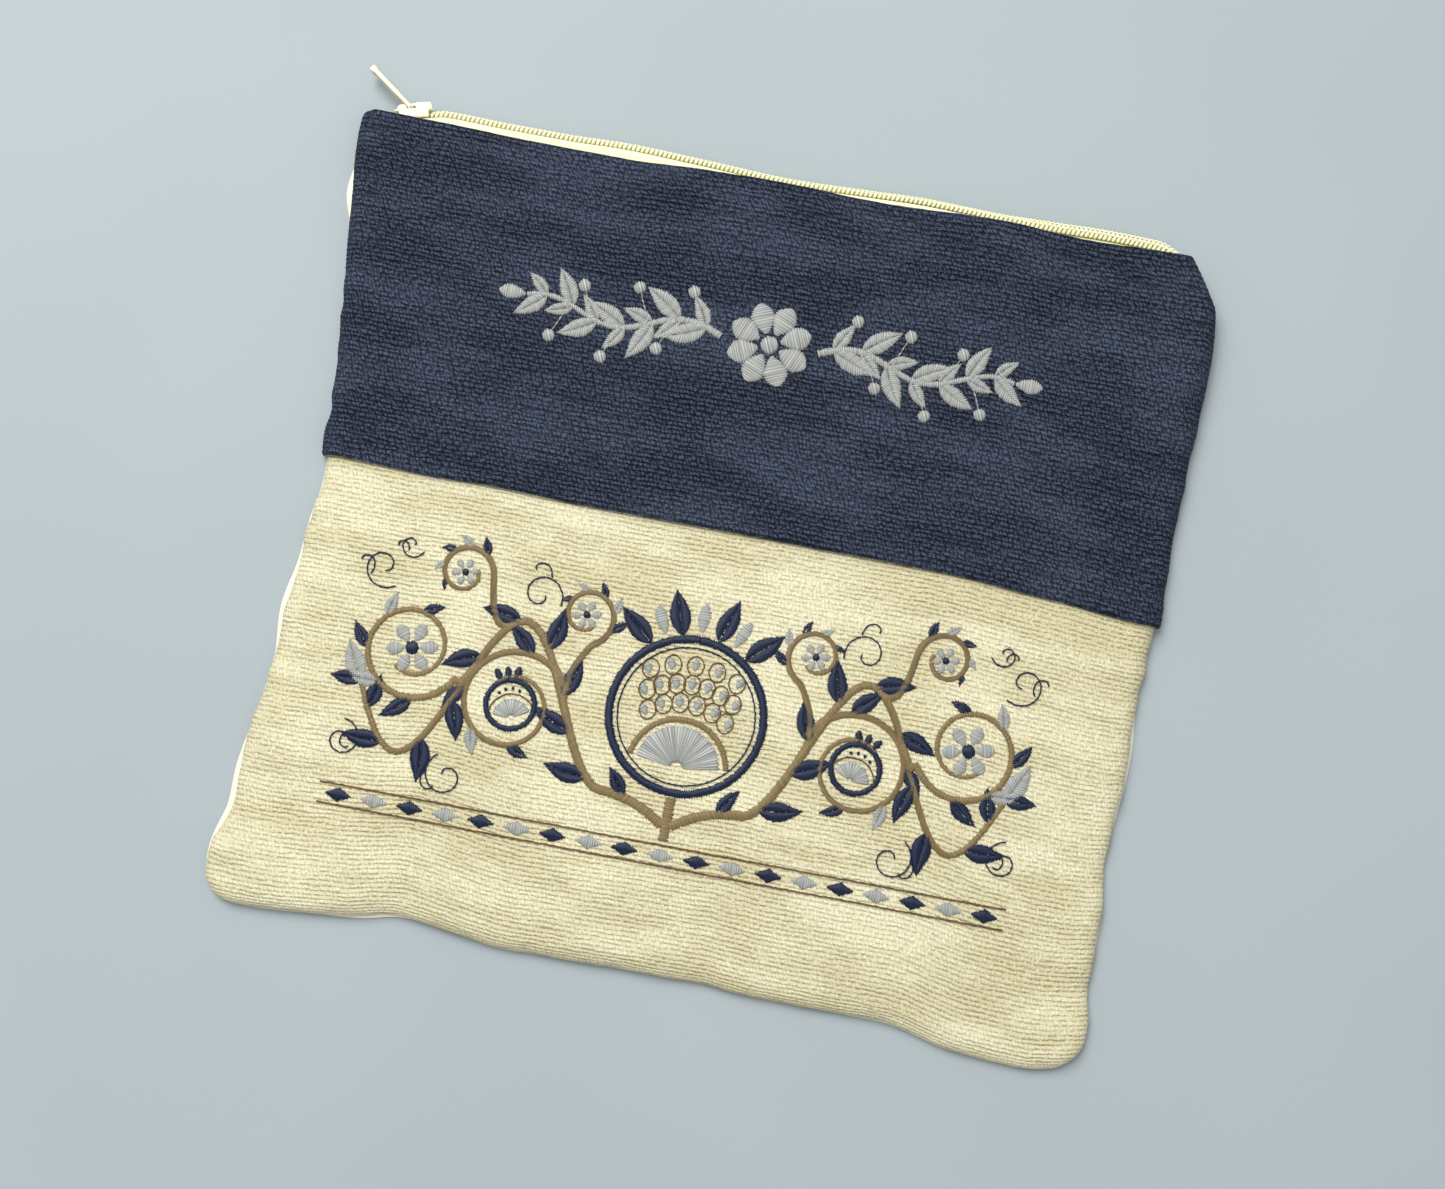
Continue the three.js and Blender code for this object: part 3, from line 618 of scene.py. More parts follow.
def joined(parts):
    """One list of points and one of faces from several."""
    points, faces, base = [], [], 0
    for part_points, part_faces in parts:
        points.append(np.asarray(part_points).reshape(-1, 3))
        faces += [[base + i for i in face] for face in part_faces]
        base += len(points[-1])
    return np.concatenate(points), faces


def rounded_slab(outline, low, high, bevel):
    """Closed plate with its outline in x and y, and rounded edges between two heights."""
    outline = np.asarray(outline, float)
    before = unit(outline - np.roll(outline, 1, 0))
    after = unit(np.roll(outline, -1, 0) - outline)
    way = unit(before + after)
    inward = np.stack([-way[:, 1], way[:, 0]], -1)
    inward = inward / np.maximum(np.sum(way * after, 1, keepdims=True), 0.4)
    turns = np.arange(BEVEL_STEPS + 1) / BEVEL_STEPS * math.pi / 2
    lower = [(bevel * (1 - math.sin(t)), low + bevel * (1 - math.cos(t))) for t in turns]
    upper = [(inset, low + high - z) for inset, z in reversed(lower)]
    stations = []
    for inset, z in lower + upper:
        ring = outline + inward * inset
        stations.append(np.column_stack([ring, np.full(len(ring), z)]))
    return swept_strip(stations)


def rounded_box(x0, x1, y0, y1, radius, steps=5):
    """Outline of a rectangle with round corners, counterclockwise."""
    points = []
    corners = ((x1, y0, -90), (x1, y1, 0), (x0, y1, 90), (x0, y0, 180))
    for x, y, start in corners:
        middle_x = x - radius if x == x1 else x + radius
        middle_y = y - radius if y == y1 else y + radius
        for i in range(steps + 1):
            turn = math.radians(start + 90 * i / steps)
            points.append((middle_x + radius * math.cos(turn), middle_y + radius * math.sin(turn)))
    return points


def turned(points, order):
    """Points with their axes in another order, such as "x z -y"."""
    points = np.asarray(points, float)
    columns = []
    for name in order.split():
        sign = -1 if name.startswith("-") else 1
        columns.append(sign * points[..., "xyz".index(name[-1])])
    return np.stack(columns, -1)


def zip_frame(x):
    """The chain's base and the zip's tilt at places along it."""
    x = np.asarray(x, float)
    straight_end = SLIDER_X + SLIDER_LENGTH / 2 + 2 * COIL_PITCH
    place = np.maximum(x, straight_end) / HALF_WIDTH
    slope = np.minimum(0, x - straight_end) * math.tan(SLIDER_YAW)
    y = BAG_HEIGHT + UPPER_OVERHANG + ZIP_REACH * look_up(ZIP_ROWS, "along", "out", place) + slope
    return y, ZIP_TILT * look_up(ZIP_ROWS, "along", "tilt", place)


def zip_point(x, across, outward):
    """Point of the zip: across the chain and out of its face."""
    y, tilt = zip_frame(x)
    x, across, outward = np.broadcast_arrays(np.asarray(x, float), across, outward)
    return np.stack([
        x,
        y - across * np.sin(tilt) + outward * np.cos(tilt),
        ZIP_HEIGHT + across * np.cos(tilt) + outward * np.sin(tilt),
    ], -1)


def slider_points(points):
    """Points of the slider's own frame in the part's: x along the zip, y across it and z out of its face."""
    points = np.asarray(points, float).reshape(-1, 3)
    x, y, z = points[:, 0], points[:, 2], -points[:, 1]
    cos, sin = math.cos(SLIDER_YAW), math.sin(SLIDER_YAW)
    place = zip_point(SLIDER_X, 0, 0)
    return np.stack([x * cos - y * sin, x * sin + y * cos, z], -1) + place


ZIP_RIGHT = float(side_edges(np.array(1.0))[1]) - ZIP_END_ROUNDING - CLEARANCE
ZIP_LEFT = float(side_edges(np.array(1.0))[0]) + ZIP_END_ROUNDING + CLEARANCE
CHAIN_LEFT = SLIDER_X - SLIDER_LENGTH / 2 + NECK_LENGTH + CLEARANCE


def linear(color):
    """Scene-linear colour from sRGB values between 0 and 255."""
    values = [c / 255 for c in color[:3]]
    return tuple(v / 12.92 if v <= 0.04045 else ((v + 0.055) / 1.055) ** 2.4 for v in values)


class Recipe:
    """A material and its procedural nodes. Each call adds a node and gives the socket of its result."""

    def __init__(self, name, **settings):
        self.material = bpy.data.materials.new(name)
        self.material.use_nodes = True
        self.nodes = self.material.node_tree.nodes
        self.links = self.material.node_tree.links
        self.shader = self.nodes["Principled BSDF"]
        for socket, value in settings.items():
            self.shader.inputs[socket.replace("_", " ")].default_value = value

    def node(self, kind, output, inputs, **settings):
        made = self.nodes.new(kind)
        for name, value in settings.items():
            setattr(made, name, value)
        for name, value in inputs.items():
            if isinstance(value, bpy.types.NodeSocket):
                self.links.new(value, made.inputs[name])
            else:
                made.inputs[name].default_value = value
        return made.outputs[output]

    def math(self, operation, a, b=0.0, c=0.0):
        return self.node("ShaderNodeMath", 0, {0: a, 1: b, 2: c}, operation=operation)

    def scale(self, value, factor, plus=0.0):
        return self.math("MULTIPLY_ADD", value, factor, plus)

    def split(self, vector):
        """The x and y of a vector."""
        parts = self.nodes.new("ShaderNodeSeparateXYZ")
        self.links.new(vector, parts.inputs[0])
        return parts.outputs[0], parts.outputs[1]

    def uv(self):
        """Cloth coordinates: millimetres along the rib and the number of the rib."""
        socket = self.node("ShaderNodeUVMap", "UV", {}, uv_map="UVMap")
        return [self.scale(part, 1000.0) for part in self.split(socket)]

    def place(self):
        """Millimetres in the frame."""
        socket = self.node("ShaderNodeTexCoord", "Object", {})
        return self.node("ShaderNodeVectorMath", 0, {0: socket, 1: (1000.0,) * 3}, operation="MULTIPLY")

    def vector(self, x, y, z):
        return self.node("ShaderNodeCombineXYZ", 0, {0: x, 1: y, 2: z})

    def noise(self, vector, scale, detail, roughness=0.5):
        inputs = {"Vector": vector, "Scale": scale, "Detail": detail, "Roughness": roughness}
        return self.node("ShaderNodeTexNoise", "Fac", inputs)

    def cells(self, vector, scale, randomness):
        inputs = {"Vector": vector, "Scale": scale, "Randomness": randomness}
        return self.node("ShaderNodeTexVoronoi", "Distance", inputs, voronoi_dimensions="2D")

    def between(self, value, low, high, start=0.0, end=1.0):
        """Value taken smoothly from low and high to start and end."""
        inputs = {"Value": value, "From Min": low, "From Max": high, "To Min": start, "To Max": end}
        return self.node("ShaderNodeMapRange", 0, inputs, interpolation_type="SMOOTHSTEP")

    def mix(self, factor, a, b):
        """Colour between a and b."""
        made = self.nodes.new("ShaderNodeMix")
        made.data_type = "RGBA"
        for socket, value in ((made.inputs[0], factor), (made.inputs[6], a), (made.inputs[7], b)):
            if isinstance(value, bpy.types.NodeSocket):
                self.links.new(value, socket)
            else:
                socket.default_value = (*value[:3], 1) if hasattr(value, "__len__") else value
        return made.outputs[2]

    def bump(self, height, distance, strength):
        inputs = {"Height": height, "Distance": distance, "Strength": strength}
        return self.node("ShaderNodeBump", 0, inputs)

    def finish(self, color=None, normal=None, roughness=None):
        for socket, name in ((color, "Base Color"), (normal, "Normal"), (roughness, "Roughness")):
            if socket is not None:
                self.links.new(socket, self.shader.inputs[name])
        return self.material


def shade(color, factor):
    return tuple(c * factor for c in color[:3])


def chenille(name, colors, patches, breaks, seed):
    """Ribbed chenille: slanted tufts on each rib with a painted highlight on their tops, broken lines of
    painted shade between the ribs, and worn patches, partly real wear and partly painted sheen.
    """
    # groove is the painted shade laid between the ribs, and bright the painted highlight on the tuft tops and
    # the painted sheen of the worn patches; bright also tints the shader's own sheen.
    pile, groove, bright = colors
    # Painted shade: the pile between the lit tuft tops is darkened by this factor.
    depth = 0.64 - 0.36 * (1 - max(pile))
    made = Recipe(name, Roughness=0.95, Sheen_Weight=0.12, Sheen_Roughness=0.5, IOR=1.35)
    made.shader.inputs["Specular IOR Level"].default_value = 0.2
    made.shader.inputs["Sheen Tint"].default_value = (*bright[:3], 1)
    x, rib = made.uv()
    grown = lambda along, up, move: made.vector(
        made.scale(along, move[0]), made.scale(up, move[1]), seed + move[2],
    )
    wander = made.noise(grown(x, rib, (0.14, 0.45, 1)), 1.0, 3.0)
    phase = made.scale(made.math("SUBTRACT", wander, 0.5), 1.1, rib)
    crest = made.math("ABSOLUTE", made.math("SINE", made.scale(phase, math.pi)))
    slant = made.scale(phase, 0.6, x)
    dome = made.between(made.cells(grown(slant, phase, (0.75, 1.0, 0)), 1.0, 0.6), 0.6, 0.1)
    fibre = made.noise(grown(slant, rib, (1.6, 2.9, 0)), 1.0, 3.0, 0.7)
    # Worn patches: partly real wear of the pile, partly painted sheen, see the mixes below.
    worn = made.between(made.noise(grown(x, rib, (0.02, 0.085, 5)), 1.0, 3.0, 0.6), 0.38, 0.64)
    dashes = made.between(made.noise(grown(x, rib, (0.8, 1.3, 3)), 1.0, 2.0, 0.65), 0.43, 0.57)
    # Painted shade: dark lines in the grooves between the ribs, broken into dashes and fewer in the worn
    # patches.
    line = made.scale(made.between(crest, 0.68, 0.16), made.scale(dashes, breaks, 1 - breaks))
    line = made.scale(line, made.scale(worn, -patches, 1.0))
    # Real random fibre tone plus a painted highlight on the top of each tuft.
    flecks_and_highlights = made.scale(fibre, 1.7, made.scale(dome, 0.4))
    color = made.mix(made.between(flecks_and_highlights, 0.74, 1.34), shade(pile, depth), bright)
    streak = made.noise(grown(x, rib, (0.035, 0.9, 7)), 1.0, 2.0)
    color = made.mix(made.between(streak, 0.35, 0.75, 0.0, 0.35), color, shade(pile, 0.66))
    # Painted sheen: the pile darker away from the worn patches and brighter in them.
    color = made.mix(made.scale(worn, -0.6 * patches, 0.6 * patches), color, shade(pile, 0.72))
    color = made.mix(made.scale(worn, 0.3 * patches), color, bright)
    # Painted shade: the groove colour laid along the lines between the ribs.
    color = made.mix(line, color, groove)
    height = made.scale(crest, 0.6, made.scale(dome, 0.5, fibre))
    return made.finish(color, made.bump(height, 0.5 * MM, 1.0))


def plain_weave(name, color, pitch):
    """Fine smooth cloth woven over and under at a pitch in millimetres."""
    made = Recipe(name, Roughness=0.85, Sheen_Weight=0.2, Sheen_Roughness=0.5)
    warp, weft = [
        made.math("SINE", made.scale(part, 2 * math.pi / pitch)) for part in made.split(made.place())
    ]
    slow = made.noise(made.place(), 0.05, 3.0)
    fine = made.noise(made.place(), 2.2, 3.0, 0.65)
    tone = made.mix(made.between(slow, 0.35, 0.65), shade(color, 0.94), color)
    tone = made.mix(made.between(fine, 0.45, 0.8, 0.0, 0.35), tone, shade(color, 0.8))
    height = made.scale(made.scale(warp, weft), 0.5, fine)
    return made.finish(tone, made.bump(height, 0.08 * MM, 0.5))


def nylon(name, color):
    """Satin nylon with a faint fine grain and a little wear."""
    made = Recipe(name, Roughness=0.42, IOR=1.5, Coat_Weight=0.1)
    grain = made.noise(made.place(), 1.6, 3.0, 0.6)
    tone = made.mix(made.between(grain, 0.35, 0.75), color, shade(color, 0.86))
    rough = made.between(grain, 0.3, 0.7, 0.36, 0.5)
    return made.finish(tone, made.bump(grain, 0.05 * MM, 0.4), rough)


def paint(name, color):
    """Glossy paint over cast metal, a little uneven and worn darker in small spots."""
    made = Recipe(name, Roughness=0.28, IOR=1.5, Coat_Weight=0.4, Coat_Roughness=0.15)
    orange_peel = made.noise(made.place(), 1.1, 2.0)
    spots = made.noise(made.place(), 0.7, 4.0, 0.7)
    tone = made.mix(made.between(spots, 0.62, 0.78, 0.0, 0.45), color, shade(color, 0.62))
    rough = made.between(spots, 0.3, 0.7, 0.24, 0.38)
    return made.finish(tone, made.bump(orange_peel, 0.06 * MM, 0.35), rough)


def thread(name, color, seed):
    """Shiny embroidery thread: fine twisted fibres, stitches that differ a little from each other, and
    painted shade between the stitches.
    """
    made = Recipe(name, Roughness=0.36, Sheen_Weight=0.06, Sheen_Roughness=0.4, IOR=1.45)
    made.shader.inputs["Anisotropic"].default_value = 0.4
    made.shader.inputs["Specular IOR Level"].default_value = 0.35
    along, stitch = made.uv()
    grown = lambda a, b: made.vector(made.scale(along, a), made.scale(stitch, b), seed)
    each = made.noise(grown(0.04, 1.7), 1.0, 1.0)
    fibre = made.noise(grown(0.8, 9.0), 1.0, 3.0, 0.6)
    twist = made.math("SINE", made.scale(along, 9.0, made.scale(stitch, 2.4)))
    tone = made.mix(made.between(each, 0.32, 0.68), shade(color, 0.58), shade(color, 1.25))
    tone = made.mix(made.between(fibre, 0.45, 0.8, 0.0, 0.4), tone, shade(color, 0.55))
    # Painted shade: darker between neighbouring satin stitches and where a running stitch dips into the
    # cloth.
    gap = made.math("ABSOLUTE", made.math("SINE", made.scale(stitch, math.pi)))
    tone = made.mix(made.between(gap, 0.1, 0.8, 0.8, 0.0), tone, shade(color, 0.35))
    height = made.scale(twist, 0.25, fibre)
    return made.finish(tone, made.bump(height, 0.12 * MM, 0.6))


def table_cloth(name, color):
    """Pale smooth table top with the faintest unevenness."""
    made = Recipe(name, Roughness=0.75, IOR=1.4)
    slow = made.noise(made.place(), 0.006, 2.0)
    fine = made.noise(made.place(), 1.4, 3.0, 0.7)
    tone = made.mix(made.between(slow, 0.35, 0.65), shade(color, 0.97), color)
    tone = made.mix(made.between(fine, 0.4, 0.9, 0.0, 0.12), tone, shade(color, 0.8))
    return made.finish(tone, made.bump(fine, 0.05 * MM, 0.3))


def color_property(name, description, color):
    """Colour that a user would change, with its default as sRGB values between 0 and 255."""
    return FloatVectorProperty(name=name, description=description, default=linear(color), subtype="COLOR")


def length_property(name, description, millimetres):
    return FloatProperty(name=name, description=description, default=millimetres * MM, unit="LENGTH")


class ClothSettings(bpy.types.PropertyGroup):
    rib_pitch: length_property("Rib pitch", "Distance between the ribs of the chenille", 1.62)
    rib_height: length_property("Rib height", "Depth of the grooves between the ribs", 0.26)
    beige: color_property("Beige", "Colour of the front panel's pile", (247, 237, 190))
    # Painted shade laid in the grooves between the front panel's ribs.
    beige_groove_shade: color_property(
        "Beige groove", "Colour deep between the front panel's ribs", (166, 147, 98),
    )
    # Painted highlight on the front panel's tuft tops and painted sheen of its worn patches.
    beige_tuft_highlight: color_property(
        "Beige highlight", "Colour of the front panel's brightest tufts", (255, 250, 216),
    )
    navy: color_property("Navy", "Colour of the upper panel's pile", (31, 38, 51))
    # Painted shade laid in the grooves between the upper panel's ribs.
    navy_groove_shade: color_property("Navy groove", "Colour deep between the upper panel's ribs", (10, 14, 24))
    # Painted highlight on the upper panel's tuft tops and painted sheen of its worn patches.
    navy_tuft_highlight: color_property(
        "Navy highlight", "Colour of the upper panel's brightest tufts", (90, 100, 122),
    )
    backing: color_property("Backing", "Colour of the smooth back panel", (246, 244, 222))


class ZipSettings(bpy.types.PropertyGroup):
    coil_color: color_property("Coil", "Colour of the nylon coil", (253, 250, 208))
    tape_color: color_property("Tape", "Colour of the woven tape", (250, 247, 205))
    paint_color: color_property("Slider paint", "Colour of the slider and its tab", (230, 224, 188))


class ThreadSettings(bpy.types.PropertyGroup):
    pitch: length_property("Stitch pitch", "Distance between neighbouring satin stitches", 0.8)
    rise: length_property("Stitch rise", "How far the satin stitches stand out of the cloth", 0.6)
    silver: color_property("Silver", "Colour of the silver thread", (176, 178, 173))
    navy: color_property("Navy", "Colour of the navy thread", (16, 32, 64))
    brown: color_property("Brown", "Colour of the brown running stitches", (112, 86, 50))
    taupe: color_property("Taupe", "Colour of the taupe thread", (142, 122, 82))


class StageSettings(bpy.types.PropertyGroup):
    turn: FloatProperty(
        name="Turn", description="How far the camera is turned against the pouch",
        default=math.radians(10.6), subtype="ANGLE",
    )
    tilt: FloatProperty(
        name="Tilt", description="How far the camera leans off the vertical",
        default=math.radians(5), subtype="ANGLE",
    )
    distance: FloatProperty(
        name="Distance", description="Camera height over the pouch's middle",
        default=0.7, unit="LENGTH",
    )
    lens: FloatProperty(name="Lens", description="Focal length in millimetres", default=50.0)
    floor_color: color_property("Floor", "Colour of the table", (165, 175, 179))


def rib_relief(points, phase, seed, settings):
    """Height of the chenille's ribs over a grid, from 0 on their crests, with slubs and bare spots."""
    x = points[..., 0]
    rib = np.floor(phase)[:, None]
    wander = 0.3 * soft_noise(x / 13, rib * 0.23, seed)
    crest = np.abs(np.cos(math.pi * (phase[:, None] - 0.5 + wander))) ** 0.8
    slub = 1 + 0.6 * soft_noise(x / 2.6, rib * 1.37, seed + 1)
    patch = 0.8 + 0.35 * soft_noise(x / 21, phase[:, None] / 9, seed + 2)
    return settings.rib_height / MM * (crest * slub * patch - 0.9)


def cloth_ripples(points, seed):
    """Small unevenness of cloth that lies loose."""
    x, y = points[..., 0], points[..., 1]
    slow = 0.32 * soft_noise(x / 26 + 5, y / 19 + 7, seed)
    quick = 0.12 * soft_noise(x / 9 + 2, y / 7 + 3, seed + 1)
    gathers = 0.55 * soft_noise(y / 5.5 + 9, x / 45 + 30, seed + 2)
    gathers = gathers * bell(HALF_WIDTH - np.abs(x), GATHER_REACH)
    return slow + quick + gathers * np.clip((GATHER_END - y) / GATHER_REACH, 0, 1)


def raised(points, phase, fade, seed, settings):
    """Grid with its ribs and ripples raised, less in the rows where fade is under 1."""
    relief = rib_relief(points, phase, seed, settings) + cloth_ripples(points, RIPPLE_SEED)
    return points + grid_normals(points) * (relief * np.clip(fade, 0, 1)[:, None])[..., None]


def cloth_uv(face, phase):
    """Millimetres along the rib and rib numbers, for the points of both grids, in thousandths."""
    steps = np.linalg.norm(np.diff(face, axis=1), axis=2)
    length = np.concatenate([np.zeros((len(face), 1)), np.cumsum(steps, 1)], 1)
    length = length - length[:, length.shape[1] // 2][:, None]
    ribs = np.broadcast_to(phase[:, None], length.shape)
    pair = np.stack([length, ribs], -1) / 1000
    return np.concatenate([pair.reshape(-1, 2), pair[::RIB_STEPS, ::RIB_STEPS].reshape(-1, 2)])


class POUCH_OT_front_panel(bpy.types.Operator):
    """Builds the beige chenille front, which runs under the upper panel to the zip"""

    bl_idname = "pouch.front_panel"
    bl_label = "Front panel"

    def execute(self, context):
        cloth = context.scene.pouch_cloth
        pitch = cloth.rib_pitch / MM
        length = BAG_HEIGHT - EDGE_ROUNDING
        shown_length = length - UPPER_PANEL_DEPTH + HEM_UNDERLAP
        count = round(shown_length / pitch) * RIB_STEPS
        shown = np.arange(count + 1) / count * shown_length / length
        hidden = np.linspace(shown[-1], 1, 6 * RIB_STEPS + 1)[1:]
        rounded = math.ceil(EDGE_ROUNDING * math.pi / 2 / pitch) * RIB_STEPS
        turns = np.arange(rounded) / rounded * math.pi / 2
        rows = np.array([(0, t) for t in turns] + [(p, math.pi / 2) for p in [*shown, *hidden]])
        number = np.arange(len(rows))
        phase = (number - rounded) / RIB_STEPS
        columns = cloth_columns(FRONT_COLUMNS)
        face = cloth_points(columns, rows, 0)
        fade = (rounded + len(shown) - number) / RIB_STEPS
        outer = raised(face, phase, fade, FRONT_RIB_SEED, cloth)
        outer[..., 2] = np.maximum(outer[..., 2], RIM_HEIGHT - 0.2)
        inner = cloth_points(columns, rows, -FRONT_WALL)[::RIB_STEPS, ::RIB_STEPS]
        piece = new_piece("front_cloth", *wall_mesh(outer, inner, RIB_STEPS), cloth_uv(face, phase))
        colors = (cloth.beige, cloth.beige_groove_shade, cloth.beige_tuft_highlight)
        pile = chenille("beige_chenille", colors, patches=1.0, breaks=1.0, seed=2.0)
        dress(piece, pile, "bag", "front_panel")
        return {"FINISHED"}


class POUCH_OT_upper_panel(bpy.types.Operator):
    """Builds the navy chenille panel with its folded hem and the turned edge at the zip"""

    bl_idname = "pouch.upper_panel"
    bl_label = "Upper panel"

    def execute(self, context):
        cloth = context.scene.pouch_cloth
        length = BAG_HEIGHT - EDGE_ROUNDING
        hem_place = 1 - UPPER_PANEL_DEPTH / length
        count = round(UPPER_PANEL_DEPTH / (cloth.rib_pitch / MM)) * RIB_STEPS
        flat = hem_place + (1 - hem_place) * np.arange(count + 1) / count
        above_hem = (flat - hem_place) * length / HEM_DEPTH
        lift = HEM_EXTRA * (1 - np.clip((above_hem - 0.7) / 0.7, 0, 1) ** 2)
        roll = math.pi * np.arange(RIB_STEPS) / RIB_STEPS
        hem_places, hem_offset = self.fold(hem_place, -1, (UPPER_WALL + HEM_EXTRA) / 2, roll)
        edge_places, edge_offset = self.fold(1, 1, UPPER_WALL / 2, math.pi - np.append(roll[1:], math.pi))
        places = np.concatenate([hem_places, flat, edge_places])
        offset = np.concatenate([hem_offset, CLEARANCE + UPPER_WALL + lift, edge_offset])
        rows = np.stack([places, np.full(len(places), math.pi / 2)], -1)
        number = np.arange(len(rows))
        phase = number / RIB_STEPS - 1
        columns = cloth_columns(UPPER_COLUMNS)
        face = cloth_points(columns, rows, offset)
        outer = raised(face, phase, np.minimum(number, number[::-1]) / RIB_STEPS, UPPER_RIB_SEED, cloth)
        inner = cloth_points(columns, rows, CLEARANCE)[::RIB_STEPS, ::RIB_STEPS]
        overhang = UPPER_OVERHANG * np.clip((places - 0.95) / 0.05, 0, 1)[:, None]
        outer[..., 1] += overhang
        inner[..., 1] += overhang[::RIB_STEPS]
        piece = new_piece("upper_cloth", *wall_mesh(outer, inner, RIB_STEPS), cloth_uv(face, phase))
        colors = (cloth.navy, cloth.navy_groove_shade, cloth.navy_tuft_highlight)
        pile = chenille("navy_chenille", colors, patches=0.45, breaks=0.35, seed=23.0)
        dress(piece, pile, "bag", "upper_panel")
        return {"FINISHED"}

    def fold(self, place, way, radius, turns):
        """Rows of a folded edge: their places, and how far each lies out of the cloth under it."""
        places = place + way * radius / (BAG_HEIGHT - EDGE_ROUNDING) * np.sin(turns)
        return places, CLEARANCE + radius * (1 - np.cos(turns))


class POUCH_OT_back_panel(bpy.types.Operator):
    """Builds the smooth cream back, which shows past the front in a few places"""

    bl_idname = "pouch.back_panel"
    bl_label = "Back panel"

    def execute(self, context):
        cloth = context.scene.pouch_cloth
        turn = np.linspace(0, math.pi / 2, CORNER_STEPS + 1)
        corner = BOTTOM_CORNER_RADIUS * (1 - np.cos(turn)) / BAG_HEIGHT
        up = np.concatenate([corner, np.linspace(corner[-1], 1, BACK_ROWS + 1)[1:]])
        q = np.linspace(-1, 1, BACK_COLUMNS + 1)
        left, right = side_edges(up)
        left = left - self.peek("left", up, BAG_HEIGHT)
        right = right + self.peek("right", up, BAG_HEIGHT)
        x = left[:, None] + (right - left)[:, None] * (q + 1) / 2
        distance = (up * BAG_HEIGHT)[:, None]
        hang = self.peek("bottom", x / HALF_WIDTH, HALF_WIDTH) * bell(distance, BACK_PEEK_HEIGHT)
        flat = np.stack([x, cloth_level(x, distance) - hang, np.zeros_like(x)], -1)
        edge = np.minimum(
            np.minimum(x - left[:, None], right[:, None] - x), np.minimum(distance, BAG_HEIGHT - distance),
        )
        soft = np.clip(1 - edge / BACK_WALL, 0, 1) ** 2
        top, under = flat.copy(), flat.copy()
        top[..., 2] = BACK_WALL * (1 - BACK_BEVEL * soft)
        under[..., 2] = BACK_WALL * BACK_BEVEL * soft
        piece = new_piece("back_cloth", *wall_mesh(top, under, 1))
        weave = plain_weave("cream_backing", cloth.backing, 0.5)
        dress(piece, weave, "bag", "back_panel")
        return {"FINISHED"}

    def peek(self, seam, place, length):
        """How far the back shows past the front at a seam."""
        return BACK_PEEK * sum(
            spot["peek"] * bell((place - spot["along"]) * length, BACK_PEEK_WIDTH * spot["width"])
            for spot in table_rows(PEEKS[seam])
        )


